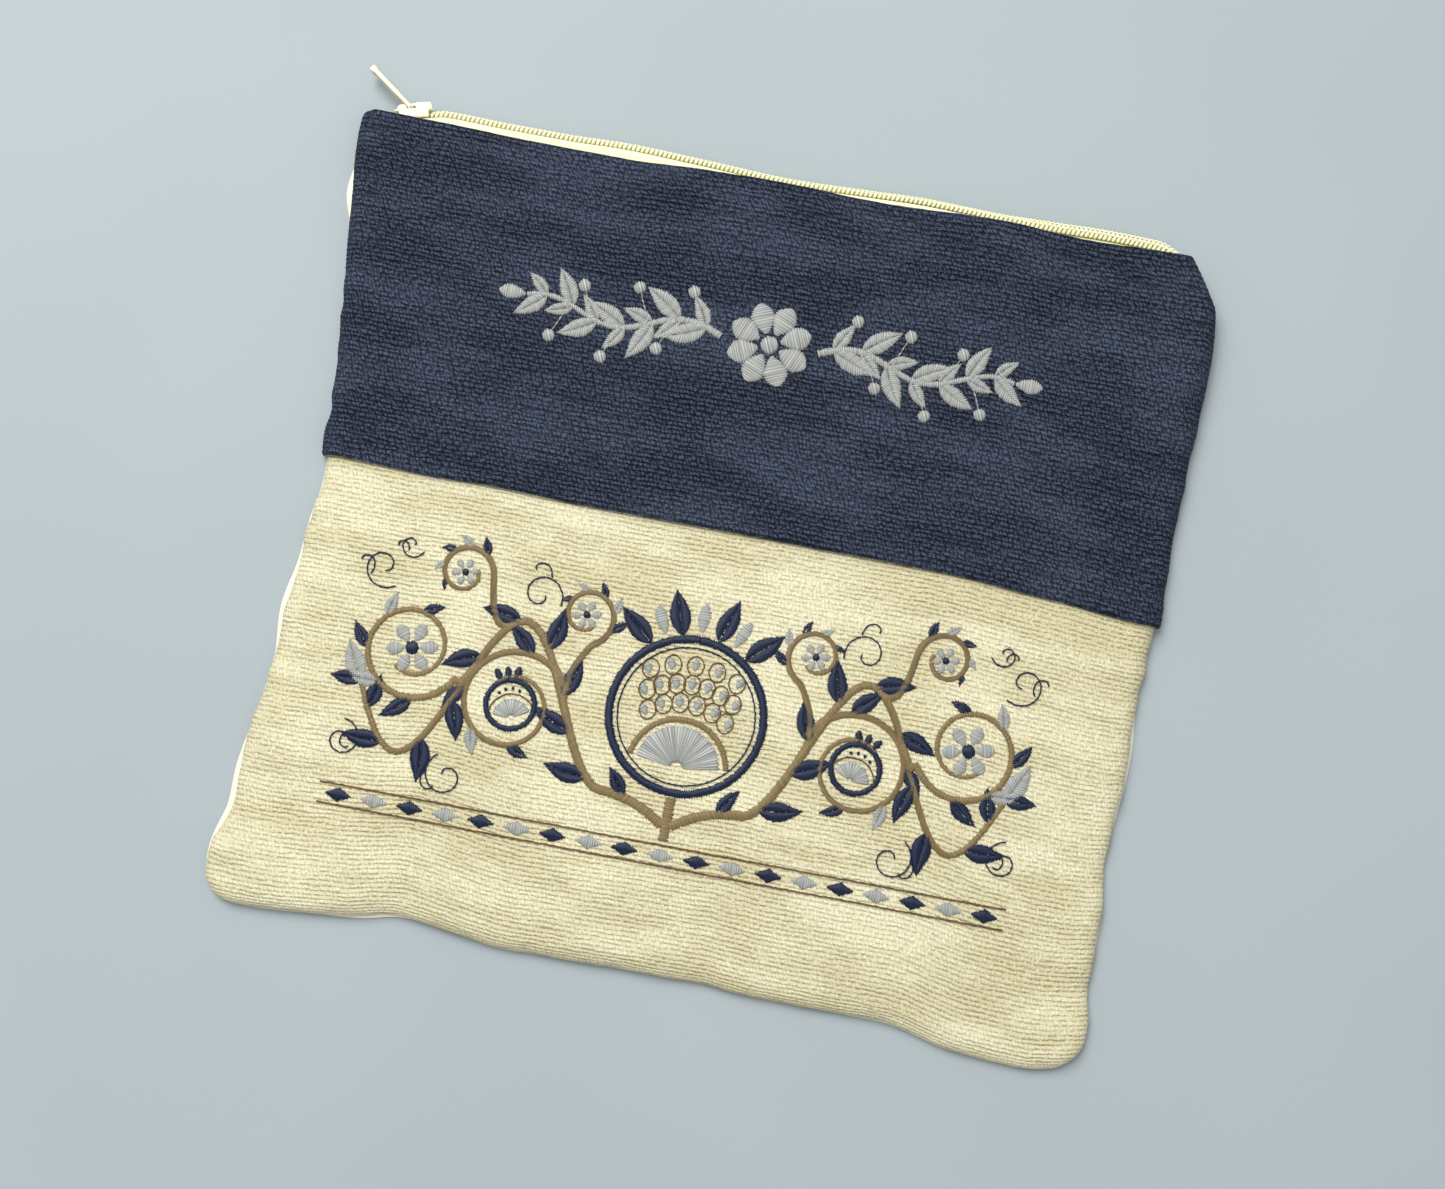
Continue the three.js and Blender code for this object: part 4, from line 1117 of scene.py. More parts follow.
class POUCH_OT_zip(bpy.types.Operator):
    """Builds the two tapes of the zip and the two halves of its coil with their sewing thread"""

    bl_idname = "pouch.zip"
    bl_label = "Zip"

    def execute(self, context):
        settings = context.scene.pouch_zip
        coil = nylon("cream_nylon", settings.coil_color)
        tape = plain_weave("cream_tape", settings.tape_color, 0.45)
        for sign, side in ((1, "front"), (-1, "back")):
            piece = new_piece(f"tape_{side}", *self.tape(sign))
            dress(piece, tape, "bag", f"zip_tape_{side}")
            piece = new_piece(f"coil_{side}", *self.coil(sign))
            dress(piece, coil, "bag", f"zip_chain_{side}")
        return {"FINISHED"}

    def tape(self, sign):
        """One tape: behind the coil, then round a soft fold and in under its panel."""
        closed = CHAIN_LEFT + NECK_WIDTH
        count = math.ceil((ZIP_RIGHT - closed) / 2)
        places = np.concatenate([[ZIP_LEFT, CHAIN_LEFT], np.linspace(closed, ZIP_RIGHT, count)])
        level = FRONT_TAPE_HEIGHT if sign > 0 else BACK_TAPE_HEIGHT
        stations = []
        for x in places:
            spread = NECK_WIDTH / 2 + CLEARANCE if x < closed else TAPE_SLIT / 2
            middle = zip_point(x, 0, -TAPE_LIFT)
            reach = (level - middle[2]) / math.cos(zip_frame(x)[1])
            fold = zip_point(x, reach, -TAPE_LIFT)
            start = zip_point(x, sign * spread, -TAPE_LIFT)
            end = np.array([x, BAG_HEIGHT - TAPE_SEAM_DEPTH, level])
            stations.append(self.thick(self.rounded(start, fold, end), sign))
        return swept_strip(stations)

    def rounded(self, start, fold, end):
        """Line from start to end by a fold, with the fold rounded off."""
        before = unit(start - fold) * FOLD_RADIUS
        after = unit(end - fold) * FOLD_RADIUS
        curve = [fold + before * (1 - t) ** 2 + after * t ** 2 for t in np.linspace(0, 1, 6)]
        return np.array([start, *curve, end])

    def thick(self, line, sign):
        """Ring round the middle of a tape, in the plane across the zip."""
        way = unit(np.gradient(line, axis=0)[:, 1:]) * TAPE_THICKNESS / 2 * sign
        side = np.stack([np.zeros(len(line)), -way[:, 1], way[:, 0]], -1)
        return np.concatenate([line - side, (line + side)[::-1]])

    def coil(self, sign):
        """One half of the coil, a flattened helix of nylon, with the thread that sews it down."""
        turns = int((ZIP_RIGHT - CHAIN_LEFT - COIL_PITCH) / COIL_PITCH)
        steps = 16
        turn = np.arange(turns * steps + 1) / steps
        angle = 2 * math.pi * turn
        far, near = COIL_HALF_WIDTH - COIL_WIRE, -0.3
        middle, half = (far + near) / 2, (far - near) / 2
        swing = np.sign(np.cos(angle)) * np.abs(np.cos(angle)) ** 0.6
        rise = np.sign(np.sin(angle)) * np.abs(np.sin(angle)) ** 0.75
        outward = COIL_HEIGHT / 2 + (COIL_HEIGHT / 2 - COIL_WIRE) * rise
        x = CHAIN_LEFT + COIL_PITCH * (0.5 + turn + (0 if sign > 0 else 0.5))
        path = zip_point(x, sign * (middle + half * swing), outward)
        way = unit(np.gradient(path, axis=0))
        out = unit(np.cross(way, (1.0, 0, 0)))
        helix = round_wire(path, np.cross(out, way), out, 0.46 + 0.1 * swing, COIL_WIRE)
        places = np.linspace(x[0], x[-1], turns * 6)
        bob = np.cos(2 * math.pi * (places - x[0]) / COIL_PITCH)
        line = zip_point(places, sign * COIL_HALF_WIDTH * 0.5, COIL_HEIGHT + 0.05 + 0.16 * bob)
        tilt = zip_frame(places)[1]
        side = np.stack([np.zeros_like(tilt), -np.sin(tilt), np.cos(tilt)], -1)
        face = np.stack([np.zeros_like(tilt), np.cos(tilt), np.sin(tilt)], -1)
        return joined([helix, round_wire(line, side, face, 0.5, 0.2)])


class POUCH_OT_slider(bpy.types.Operator):
    """Builds the cast slider: two plates, a neck, side flanges and the hollow bail over the tab's pin"""

    bl_idname = "pouch.slider"
    bl_label = "Slider"

    def execute(self, context):
        front, rear = -SLIDER_LENGTH / 2, SLIDER_LENGTH / 2
        plate_top = PLATE_BASE + SLIDER_PLATE
        under_top = -TAPE_LIFT - TAPE_THICKNESS / 2 - CLEARANCE
        upper = rounded_slab(self.shield(front, rear, SLIDER_HALF), PLATE_BASE, plate_top, CAST_BEVEL)
        under = self.shield(front, rear, SLIDER_HALF - SLIDER_UNDER_STEP)
        lower = rounded_slab(under, under_top - SLIDER_PLATE, under_top, CAST_BEVEL)
        neck = rounded_slab(self.wedge(front), under_top - CAST_SINK, PLATE_BASE + CAST_SINK, 0.1)
        flanges = []
        for side in (-1, 1):
            low, high = sorted((side * (SLIDER_HALF - SLIDER_WALL), side * SLIDER_HALF))
            outline = rounded_box(front + 2, rear - 1.6, low, high, 0.45)
            flanges.append(rounded_slab(outline, 0, PLATE_BASE + CAST_SINK, 0.3))
        points, faces = rounded_slab(self.bail(front, rear), -BAIL_WIDTH / 2, BAIL_WIDTH / 2, CAST_BEVEL)
        bail = (turned(points, "x -z y"), faces)
        points, faces = joined([upper, lower, neck, *flanges, bail])
        piece = new_piece("slider", slider_points(points), faces)
        glossy = paint("cream_paint", context.scene.pouch_zip.paint_color)
        dress(piece, glossy, "bag", "slider_body")
        return {"FINISHED"}

    def shield(self, front, rear, half):
        """Outline of a plate: broad shoulders at the neck, drawn in a little towards the chain."""
        outline = np.array(rounded_box(front, rear, -half, half, half / 2.4, 7))
        share = np.clip((outline[:, 0] - front) / (rear - front), 0, 1)
        outline[:, 1] *= 1 - 0.09 * share ** 2
        return outline

    def wedge(self, front):
        back = front + NECK_LENGTH
        shoulder = front + NECK_LENGTH / 3
        return [(front + 0.1, 0), (shoulder, -NECK_WIDTH / 2), (back, 0), (shoulder, NECK_WIDTH / 2)]

    def bail(self, front, rear):
        """Side view of the bail: a round lug, the gap for the pin, and a squarer cap at the chain's end."""
        base = PLATE_BASE + SLIDER_PLATE - 0.5
        start = front + SLIDER_PLATE
        gap = start + BAIL_LUG_LENGTH
        gap_end = gap + BAIL_GAP
        bar_base = PIN_HEIGHT + TAB_PIN / 2 + CLEARANCE
        bar_top = bar_base + BAIL_BAR
        cap_top = bar_top + BAIL_CAP_RISE
        cap_end = rear - SLIDER_PLATE / 2
        lug = BAIL_LUG_LENGTH / 2.2
        chamfer = 0.4
        round_lug = [
            (start + lug * (1 - math.sin(t)), bar_top - lug * (1 - math.cos(t)))
            for t in np.linspace(0, math.pi / 2, 7)
        ]
        return [
            (gap, base), (gap, bar_base - chamfer), (gap + chamfer, bar_base),
            (gap_end - chamfer, bar_base), (gap_end, bar_base - chamfer), (gap_end, base),
            (cap_end, base), (cap_end - 0.35, cap_top - 0.8), (cap_end - 0.9, cap_top),
            (gap_end + 0.2, cap_top + 0.05), (gap_end - 0.1, bar_top + 0.1), *round_lug, (start, base),
        ]


class POUCH_OT_pull_tab(bpy.types.Operator):
    """Builds the pull tab: a pin between two rails, a grooved leaf and a thicker rim at its tip"""

    bl_idname = "pouch.pull_tab"
    bl_label = "Pull tab"

    def execute(self, context):
        half = BAIL_WIDTH / 2 + TAB_PLAY + TAB_RAIL
        eye_end = BAIL_GAP / 2 + BAIL_LUG_LENGTH + TAB_PLAY
        corner = half * 0.7
        parts = [self.pin(half)]
        for side in (-1, 1):
            low, high = sorted((side * half, side * (half - TAB_RAIL)))
            outline = rounded_box(-0.5, eye_end + corner, low, high, 0.3)
            parts.append(rounded_slab(outline, -TAB_THICKNESS / 2 + 0.05, TAB_THICKNESS / 2 - 0.05, 0.45))
        parts.append(self.leaf(eye_end, half, corner))
        points, faces = joined(parts)
        cos, sin = math.cos(TAB_REST), math.sin(TAB_REST)
        x, y, z = points.T
        pin_x = -SLIDER_LENGTH / 2 + SLIDER_PLATE + BAIL_LUG_LENGTH + BAIL_GAP / 2
        swung = np.stack([x * cos - z * sin + pin_x, y, x * sin + z * cos + PIN_HEIGHT], -1)
        piece = new_piece("pull_tab_leaf", slider_points(swung), faces)
        glossy = paint("cream_paint_tab", context.scene.pouch_zip.paint_color)
        dress(piece, glossy, "pull_tab", "pull_tab")
        return {"FINISHED"}

    def pin(self, half):
        turns = np.arange(14) / 14 * 2 * math.pi
        disc = np.stack([np.cos(turns), np.sin(turns)], -1) * TAB_PIN / 2
        points, faces = rounded_slab(disc, -half, half, 0.2)
        return turned(points, "x z -y"), faces

    def leaf(self, start, half, corner):
        """Leaf lofted along its length, with sunk faces, a groove along each edge and a rim at the tip."""
        places = np.concatenate([
            start + np.array([0, 0.15, 0.5, 1.1, 2.0]),
            np.linspace(start + 3, TAB_LENGTH - TAB_RIM_LENGTH - 0.9, 7),
            TAB_LENGTH - TAB_RIM_LENGTH + np.array([-0.5, -0.2, 0.1, 0.5]),
            TAB_LENGTH - np.array([1.3, 0.8, 0.4, 0.12, 0.0]),
        ])
        stations = []
        for x in places:
            end = min(x - start, TAB_LENGTH - x)
            wide = half - corner_pull(corner, end + 0.05)
            rim = look_up(TAB_RIM, "along", "thick", (x - TAB_LENGTH + TAB_RIM_LENGTH) / 0.5)
            thick = TAB_THICKNESS + (TAB_RIM_THICKNESS - TAB_THICKNESS) * rim
            thick = thick * (1 - 0.5 * bell(end, 0.3)) / 2
            sunk = 0.28 * (1 - rim) * np.clip((x - start - 1) / 1.5, 0, 1)
            stations.append(self.section(x, float(wide), float(thick), float(sunk)))
        return swept_strip(stations)

    def section(self, x, wide, thick, sunk):
        """One ring across the leaf."""
        bevel, rail, groove = 0.3, 0.95, 0.22
        quarter = [
            (wide - groove, 0), (wide, 0.34 * thick), (wide, thick - bevel),
            (wide - 0.3 * bevel, thick - 0.3 * bevel), (wide - bevel, thick),
            (wide - rail, thick), (wide - rail - 0.25, thick - sunk), (0, thick - sunk),
        ]
        quarter = [(max(y, 0.05 * (7 - i)), max(z, 0.05 * i)) for i, (y, z) in enumerate(quarter)]
        half_ring = quarter + [(-y, z) for y, z in reversed(quarter[:-1])]
        ring = half_ring + [(y, -z) for y, z in reversed(half_ring[1:-1])]
        return [(x, y, z) for y, z in ring]


class Stitches:
    """Embroidery in one thread. Places are in millimetres from the middle of the motif."""

    def __init__(self, settings, middle, ground, seed):
        self.pitch = settings.pitch / MM
        self.rise = settings.rise / MM
        self.middle = np.array(middle, float)
        self.ground = ground
        self.random = np.random.RandomState(seed)
        self.points, self.uv, self.faces, self.count = [], [], [], 0

    def add(self, places, lift, along, numbers):
        """Closed strip: places, lift and along have a row for each ring of the strip."""
        places = places + self.middle
        z = self.ground(places[..., 0], places[..., 1]) + lift
        rings, size = lift.shape
        self.points.append(np.concatenate([places, z[..., None]], -1).reshape(-1, 3))
        spread = np.broadcast_to(np.asarray(numbers, float)[:, None], lift.shape)
        self.uv.append(np.stack([along, spread], -1).reshape(-1, 2) / 1000)
        r, i = np.meshgrid(np.arange(rings - 1), np.arange(size), indexing="ij")
        a = self.count + r * size + i
        b = self.count + r * size + (i + 1) % size
        self.faces += np.stack([a, b, b + size, a + size], -1).reshape(-1, 4).tolist()
        self.faces.append([self.count + i for i in range(size - 1, -1, -1)])
        self.faces.append([self.count + (rings - 1) * size + i for i in range(size)])
        self.count += rings * size

    def satin(self, left, right, rise=1.0, slant=0.0):
        """Satin stitches side by side from one edge to the other, each standing up as a ridge."""
        left, right = np.asarray(left, float), np.asarray(right, float)
        middle = (left + right) / 2
        reach = max(path_length(middle), 0.7 * path_length(right), 0.7 * path_length(left))
        count = max(3, round(reach / self.pitch))
        places = np.arange(2 * count + 1) / (2 * count)
        start = path_at(left, places)
        end = path_at(right, np.clip(places + slant, 0, 1))
        ridge = np.arange(2 * count + 1) % 2
        ends = self.random.uniform(-0.2, 0.24, (2 * count + 1, 2)) + 0.42 * ridge[:, None] - 0.2
        across = end - start
        width = np.maximum(np.linalg.norm(across, axis=1, keepdims=True), 1e-6)
        start = start - across / width * ends[:, :1]
        end = end + across / width * ends[:, 1:]
        steps = int(np.clip(np.median(width) / 2.2, 4, 8))
        share = 0.5 - 0.5 * np.cos(np.linspace(0, math.pi, steps + 1))
        crown = np.sin(share * math.pi) ** 0.55
        height = self.rise * rise * np.clip(width / 1.6, 0.55, 1.3)
        lift = height * crown * (0.5 + 0.5 * ridge[:, None])
        flat = start[:, None] + (end - start)[:, None] * share[None, :, None]
        below = np.stack([flat[:, -1], flat[:, 0]], 1)
        places = np.concatenate([flat, below], 1)
        lift = np.concatenate([lift, np.full((len(lift), 2), -0.55)], 1)
        along = np.concatenate([share, [1, 0]])[None, :] * width
        self.add(places, lift, along, np.arange(len(lift)) / 2)

    def line(self, path, width, end_width=None):
        """Narrow satin column along a path, tapered to its end width."""
        path = np.asarray(path, float)
        count = max(2, int(path_length(path) / 1.5))
        path = path_at(path, np.linspace(0, 1, count + 1))
        side = path_side(path)
        half = np.linspace(width, width if end_width is None else end_width, len(path))[:, None] / 2
        self.satin(path + side * half, path - side * half)

    def run(self, path, stitch, width=0.75):
        """Running stitches: a thin thread that dips into the cloth at each stitch's end."""
        path = np.asarray(path, float)
        count = max(4, 4 * round(path_length(path) / stitch))
        path = path_at(path, np.linspace(0, 1, count + 1))
        side = path_side(path)
        path = path + side * self.random.uniform(-0.12, 0.12, (len(path), 1))
        swell = np.sin(np.arange(count + 1) / 4 * math.pi) ** 2
        half = width / 2 * (0.7 + 0.3 * swell)[:, None]
        ring = [(-1, -0.5), (-0.6, 0.6), (0.6, 0.6), (1, -0.5)]
        places = np.stack([path + side * half * across for across, _ in ring], 1)
        lift = np.stack([(0.16 + 0.3 * swell) + up * width / 2 for _, up in ring], 1)
        lift[:, 0] = lift[:, -1] = -0.5
        along = np.broadcast_to(np.arange(count + 1)[:, None] * stitch / 4, lift.shape)
        self.add(places, lift, along, np.arange(count + 1) / 4)

    def leaf(self, root, turn, length, width, bend=0.0):
        """Leaf in two satin halves that meet on its vein."""
        t = np.linspace(0, 1, 15)
        vein = np.stack([t * length, bend * length * t * t], -1)
        half = width / 2 * np.sin(math.pi * t ** 0.8)[:, None] + 0.12
        side = path_side(vein)
        for sign in (1, -1):
            edge = vein + side * half * sign
            self.satin(placed(vein, root, turn), placed(edge, root, turn), slant=0.1)

    def petal(self, root, turn, length, width, rise=1.0):
        """Petal with its stitches straight across it."""
        t = np.linspace(0.04, 0.98, 15)
        half = width / 2 * np.sin(math.pi * t ** 1.25) ** 0.75
        left = placed(np.stack([t * length, half], -1), root, turn)
        right = placed(np.stack([t * length, -half], -1), root, turn)
        self.satin(left, right, rise)

    def berry(self, middle, radius):
        """Small round spot that stands up a little higher."""
        t = np.linspace(-0.94, 0.94, 11)
        half = radius * np.sqrt(1 - t * t)
        left = placed(np.stack([t * radius, half], -1), middle, 0.4)
        right = placed(np.stack([t * radius, -half], -1), middle, 0.4)
        self.satin(left, right, 1.2)

    def fan(self, middle, inner, outer, start, end):
        """Stitches that spread from a small arc to a large one."""
        self.satin(arc(middle, inner, start, end), arc(middle, outer, start, end))

    def piece(self, name, material, slot):
        made = new_piece(name, np.concatenate(self.points), self.faces, np.concatenate(self.uv))
        dress(made, material, "bag")


def path_length(path):
    return float(np.sum(np.linalg.norm(np.diff(path, axis=0), axis=1)))


def path_at(path, shares):
    """Points at shares of a path's length."""
    steps = np.concatenate([[0], np.cumsum(np.linalg.norm(np.diff(path, axis=0), axis=1))])
    steps = steps + np.arange(len(steps)) * 1e-9
    places = np.asarray(shares) * steps[-1]
    return np.stack([np.interp(places, steps, path[:, i]) for i in range(2)], -1)


def path_side(path):
    """Unit ways to the left of a path."""
    way = unit(np.gradient(path, axis=0))
    return np.stack([-way[:, 1], way[:, 0]], -1)


def placed(path, root, turn):
    """Path turned round its start and moved to its root."""
    cos, sin = math.cos(turn), math.sin(turn)
    path = np.asarray(path, float)
    return path @ np.array([[cos, sin], [-sin, cos]]) + np.asarray(root, float)


def arc(middle, radius, start, end, count=25):
    """Points of an arc, with its ends in degrees. radius may be one (start, end) pair for a spiral."""
    turn = np.radians(np.linspace(start, end, count))
    reach = np.linspace(*radius, count) if hasattr(radius, "__len__") else radius
    return np.stack([middle[0] + reach * np.cos(turn), middle[1] + reach * np.sin(turn)], -1)


def around(middle, radius, turn):
    """Point at a distance from a middle, turned round it."""
    return middle[0] + radius * math.cos(turn), middle[1] + radius * math.sin(turn)


def spiral(spot, inner, count):
    """Spiral of a table's row, from its full size down to a share of it."""
    size, start = spot["size"], spot["start"]
    return arc((spot["x"], spot["y"]), (size, inner * size), start, start + spot["turn"], count)


def wave(start, end, height, length):
    """Wavy line from left to right."""
    x = np.linspace(start, end, 60)
    return np.stack([x, height * np.sin(2 * math.pi * (x - start) / length)], -1)


def cloth_ground(offset):
    """Function for the height of the cloth at places on it, without its ribs."""
    def ground(x, y):
        distance = y
        for _ in range(3):
            distance = distance + (y - cloth_level(x, distance))
        up = distance / BAG_HEIGHT
        left, right = side_edges(up, offset)
        rounding = edge_rounding(up, offset)
        q = 2 * (x - left - rounding) / (right - left - 2 * rounding) - 1
        return cloth_height(q, up, x) + offset + cloth_ripples(np.stack([x, y], -1), RIPPLE_SEED)
    return ground


class POUCH_OT_sprig(bpy.types.Operator):
    """Embroiders the silver sprigs with their rosette on the upper panel"""

    bl_idname = "pouch.sprig"
    bl_label = "Sprig embroidery"

    def execute(self, context):
        settings = context.scene.pouch_thread
        silver = Stitches(settings, SPRIG_MIDDLE, cloth_ground(CLEARANCE + UPPER_WALL), 5)
        for i in range(ROSETTE_PETALS):
            turn = 2 * math.pi * (i + 0.5) / ROSETTE_PETALS
            silver.petal(around((0, 0), 3.6, turn), turn, length=11.5, width=8.2)
        silver.berry((0, 0), 3.1)
        for sign in (-1, 1):
            self.sprig(silver, sign)
        material = thread("silver_thread", settings.silver, 4.0)
        silver.piece("silver_sprigs", material, "silver_thread")
        return {"FINISHED"}

    def sprig(self, silver, sign):
        """One wavy stem with leaves on both sides and berries between them."""
        stem = wave(SPRIG_START, SPRIG_REACH, height=3.4, length=50)
        silver.line(stem * (sign, 1), 2.4, 1.5)
        shares = np.linspace(0.08, 0.9, 7)
        points = path_at(stem, shares)
        ways = -path_side(stem)
        for i, share in enumerate(shares):
            side = 1 if i % 2 else -1
            way = ways[int(share * (len(stem) - 1))]
            base = math.atan2(way[1], way[0]) + math.pi / 2
            size = 16.5 - 3.5 * share
            for up, length in ((side, size), (-side, 0.72 * size)):
                turn = base + up * math.radians(48)
                root = points[i]
                if sign < 0:
                    root, turn = (-root[0], root[1]), math.pi - turn
                silver.leaf(root, turn, length, 0.42 * length, 0.14 * (-up * sign))
            berry = points[i] + np.array([6.5, -side * 11.5])
            if share < 0.8:
                silver.run(np.stack([points[i] + (1.5, 0), berry]) * (sign, 1), 2.0, 0.6)
                silver.berry(berry * (sign, 1), 2.2)
        silver.petal(stem[-1] * (sign, 1), 0 if sign > 0 else math.pi, 10, 5)


class POUCH_OT_vine(bpy.types.Operator):
    """Embroiders the scrolling vine and its fruit on the front panel"""

    bl_idname = "pouch.vine"
    bl_label = "Vine embroidery"

    def execute(self, context):
        settings = context.scene.pouch_thread
        threads = {}
        for i, name in enumerate(("silver", "navy", "taupe", "brown")):
            threads[name] = Stitches(settings, VINE_MIDDLE, cloth_ground(0), 21 + i)
        self.great_fruit(threads)
        for sign in (-1, 1):
            self.scroll(threads, sign)
        self.border(threads)
        for i, (name, stitches) in enumerate(threads.items()):
            material = thread(f"{name}_thread_front", getattr(settings, name), 7.0 + i)
            stitches.piece(f"{name}_vine", material, "taupe_thread" if name == "brown" else f"{name}_thread")
        return {"FINISHED"}

    def fruit(self, threads, middle, size, turn):
        """Round fruit with a pointed crown, a fan inside and seeds round the fan."""
        move = lambda path: placed(np.asarray(path, float) * size, middle, turn)
        foot = (0, -0.55)
        threads["navy"].line(move(arc((0, 0), 1.0, 90, 450, 61)), 2.0)
        for lean in (-24, 0, 24):
            root = move([(0.644 * math.sin(math.radians(lean)), 0.95)])[0]
            threads["navy"].petal(root, turn + math.radians(90 - lean), 0.62 * size, 0.3 * size)
        threads["silver"].satin(move(arc(foot, 0.12, 15, 165)), move(arc(foot, 0.78, 15, 165)))
        threads["brown"].run(move(arc(foot, 0.98, 22, 158)), 2.2)
        for lean in np.radians([-40, -13, 13, 40]):
            seed = move([(0.66 * math.sin(lean), 0.05 + 0.6 * math.cos(lean))])[0]
            threads["navy"].berry(seed, 0.07 * size)

    def great_fruit(self, threads):
        """The fruit in the middle, with rows of ringed seeds between its outline and its fan."""
        middle, size = (0.0, 1.0), 26.5
        navy, silver, taupe, brown = (threads[name] for name in ("navy", "silver", "taupe", "brown"))
        navy.line(arc(middle, size, 90, 450, 91), 2.8)
        navy.run(arc(middle, size - 2.9, 0, 360, 91), 2.2)
        for lean in (-36, -13, 13, 36):
            turn = math.radians(90 - lean)
            navy.leaf(around(middle, size + 1.2, turn), turn - math.radians(0.35 * lean), 16, 7)
        for lean in (-24.5, 0, 24.5):
            turn = math.radians(90 - lean)
            silver.petal(around(middle, size + 2, turn), turn, 11, 4.2)
        foot = middle[1] - 18
        silver.fan((0, foot), 2.2, 14.5, 8, 172)
        taupe.line(arc((0, foot), 16.8, 8, 172), 2.0)
        for radius, count in ((22.5, 6), (29, 7), (35.5, 5)):
            for lean in np.linspace(-1, 1, count) * (57 - radius * 0.9):
                turn = math.radians(90 - lean)
                seed = around((0, foot), radius, turn)
                silver.petal((seed[0], seed[1] - 2), turn, 4.4, 2.8, 1.2)
                rim = np.linspace(0, 2 * math.pi, 15)
                ring = np.stack([seed[0] + 2.9 * np.cos(rim), seed[1] + 3.4 * np.sin(rim)], -1)
                brown.run(ring, 2.0, 0.65)
        taupe.line([(0, middle[1] - size - 1.5), (0, -34), (0, -42)], 3.6)

    def scroll(self, threads, sign):
        """One wavy stem with a curl in each of its bends."""
        navy, silver, taupe = threads["navy"], threads["silver"], threads["taupe"]
        side = lambda path: np.asarray(path, float) * (sign, 1)
        heading = lambda degrees: math.radians(degrees if sign > 0 else 180 - degrees)
        x = np.linspace(1.5, SCROLL_REACH, 90)
        bends = np.cos(2 * math.pi * np.maximum(x - SCROLL_START, 0) / SCROLL_LENGTH)
        foot = 9 * np.clip(1 - x / SCROLL_START, 0, 1) ** 2
        stem = np.stack([x, SCROLL_BASE - SCROLL_HEIGHT * bends - foot], -1)
        taupe.line(side(stem), 3.4, 1.9)
        for spot in table_rows(CURLS):
            spin = spiral(spot, 0.44, 61)
            fork = path_at(stem, [spot["branch"], spot["branch"] + 0.02])
            lead = fork[0] + (fork[1] - fork[0]) * 3
            reach = np.linspace(0, 1, 13)[:, None]
            branch = fork[0] * (1 - reach) ** 2 + 2 * lead * reach * (1 - reach) + spin[0] * reach ** 2
            taupe.line(side(np.concatenate([branch[:-1], spin])), 2.6, 1.4)
            for i, share in enumerate((0.16, 0.28, 0.40, 0.52, 0.64)):
                # The stem passes there
                if spot["fruit"] and i == 1:
                    continue
                point = path_at(spin, [share, share + 0.02])
                way = math.degrees(math.atan2(*(point[1] - point[0])[::-1]))
                out = -1 if spot["turn"] > 0 else 1
                stitches = silver if i % 2 else navy
                size = (0.66 - 0.06 * i) * spot["size"]
                stitches.leaf(side(point[0]), heading(way + out * 46), size, 0.44 * size, -0.16 * out * sign)
            middle = (sign * spot["x"], spot["y"])
            if spot["fruit"]:
                self.fruit(threads, middle, 0.42 * spot["size"], -sign * 0.25)
            else:
                self.flower(threads, middle, 0.4 * spot["size"])
        for spot in table_rows(STEM_LEAVES):
            point = path_at(stem, [spot["along"], spot["along"] + 0.01])
            way = math.degrees(math.atan2(*(point[1] - point[0])[::-1]))
            bend = -0.14 * spot["lean"] / abs(spot["lean"]) * sign
            navy.leaf(side(point[0]), heading(way + spot["lean"]), spot["size"], 0.44 * spot["size"], bend)
        for spot in table_rows(TENDRILS):
            curl = spiral(spot, 0.2, 41)
            navy.run(side(curl), 2.2)
            twin = arc(curl[12] + (1.5, 2), (0.6 * spot["size"], 1), spot["start"], spot["start"] - 200)
            navy.run(side(twin), 2.2)
        silver.leaf(side(stem[-1]), heading(58), 15, 7, 0.1 * sign)
        navy.leaf(side(stem[-1]), heading(8), 11, 5, -0.1 * sign)

    def flower(self, threads, middle, size):
        for i in range(FLOWER_PETALS):
            turn = 2 * math.pi * i / FLOWER_PETALS + 0.2
            threads["silver"].petal(around(middle, 0.3 * size, turn), turn, 0.95 * size, 0.62 * size)
        threads["navy"].berry(middle, 0.32 * size)

    def border(self, threads):
        """Two dashed lines under the vine with lozenges between them."""
        for level in BORDER_LINES:
            path = np.stack([np.linspace(-BORDER_REACH, BORDER_REACH, 80), np.full(80, level)], -1)
            threads["brown"].run(path, 3.0, 0.9)
        level = sum(BORDER_LINES) / 2
        for i, x in enumerate(np.linspace(7 - BORDER_REACH, BORDER_REACH - 7, LOZENGES)):
            t = np.linspace(-1, 1, 9)
            half = LOZENGE_HEIGHT * (1 - np.abs(t)) + 0.15
            left = np.stack([x + LOZENGE_REACH * t, level + half], -1)
            right = np.stack([x + LOZENGE_REACH * t, level - half], -1)
            threads["silver" if i % 2 else "navy"].satin(left, right)


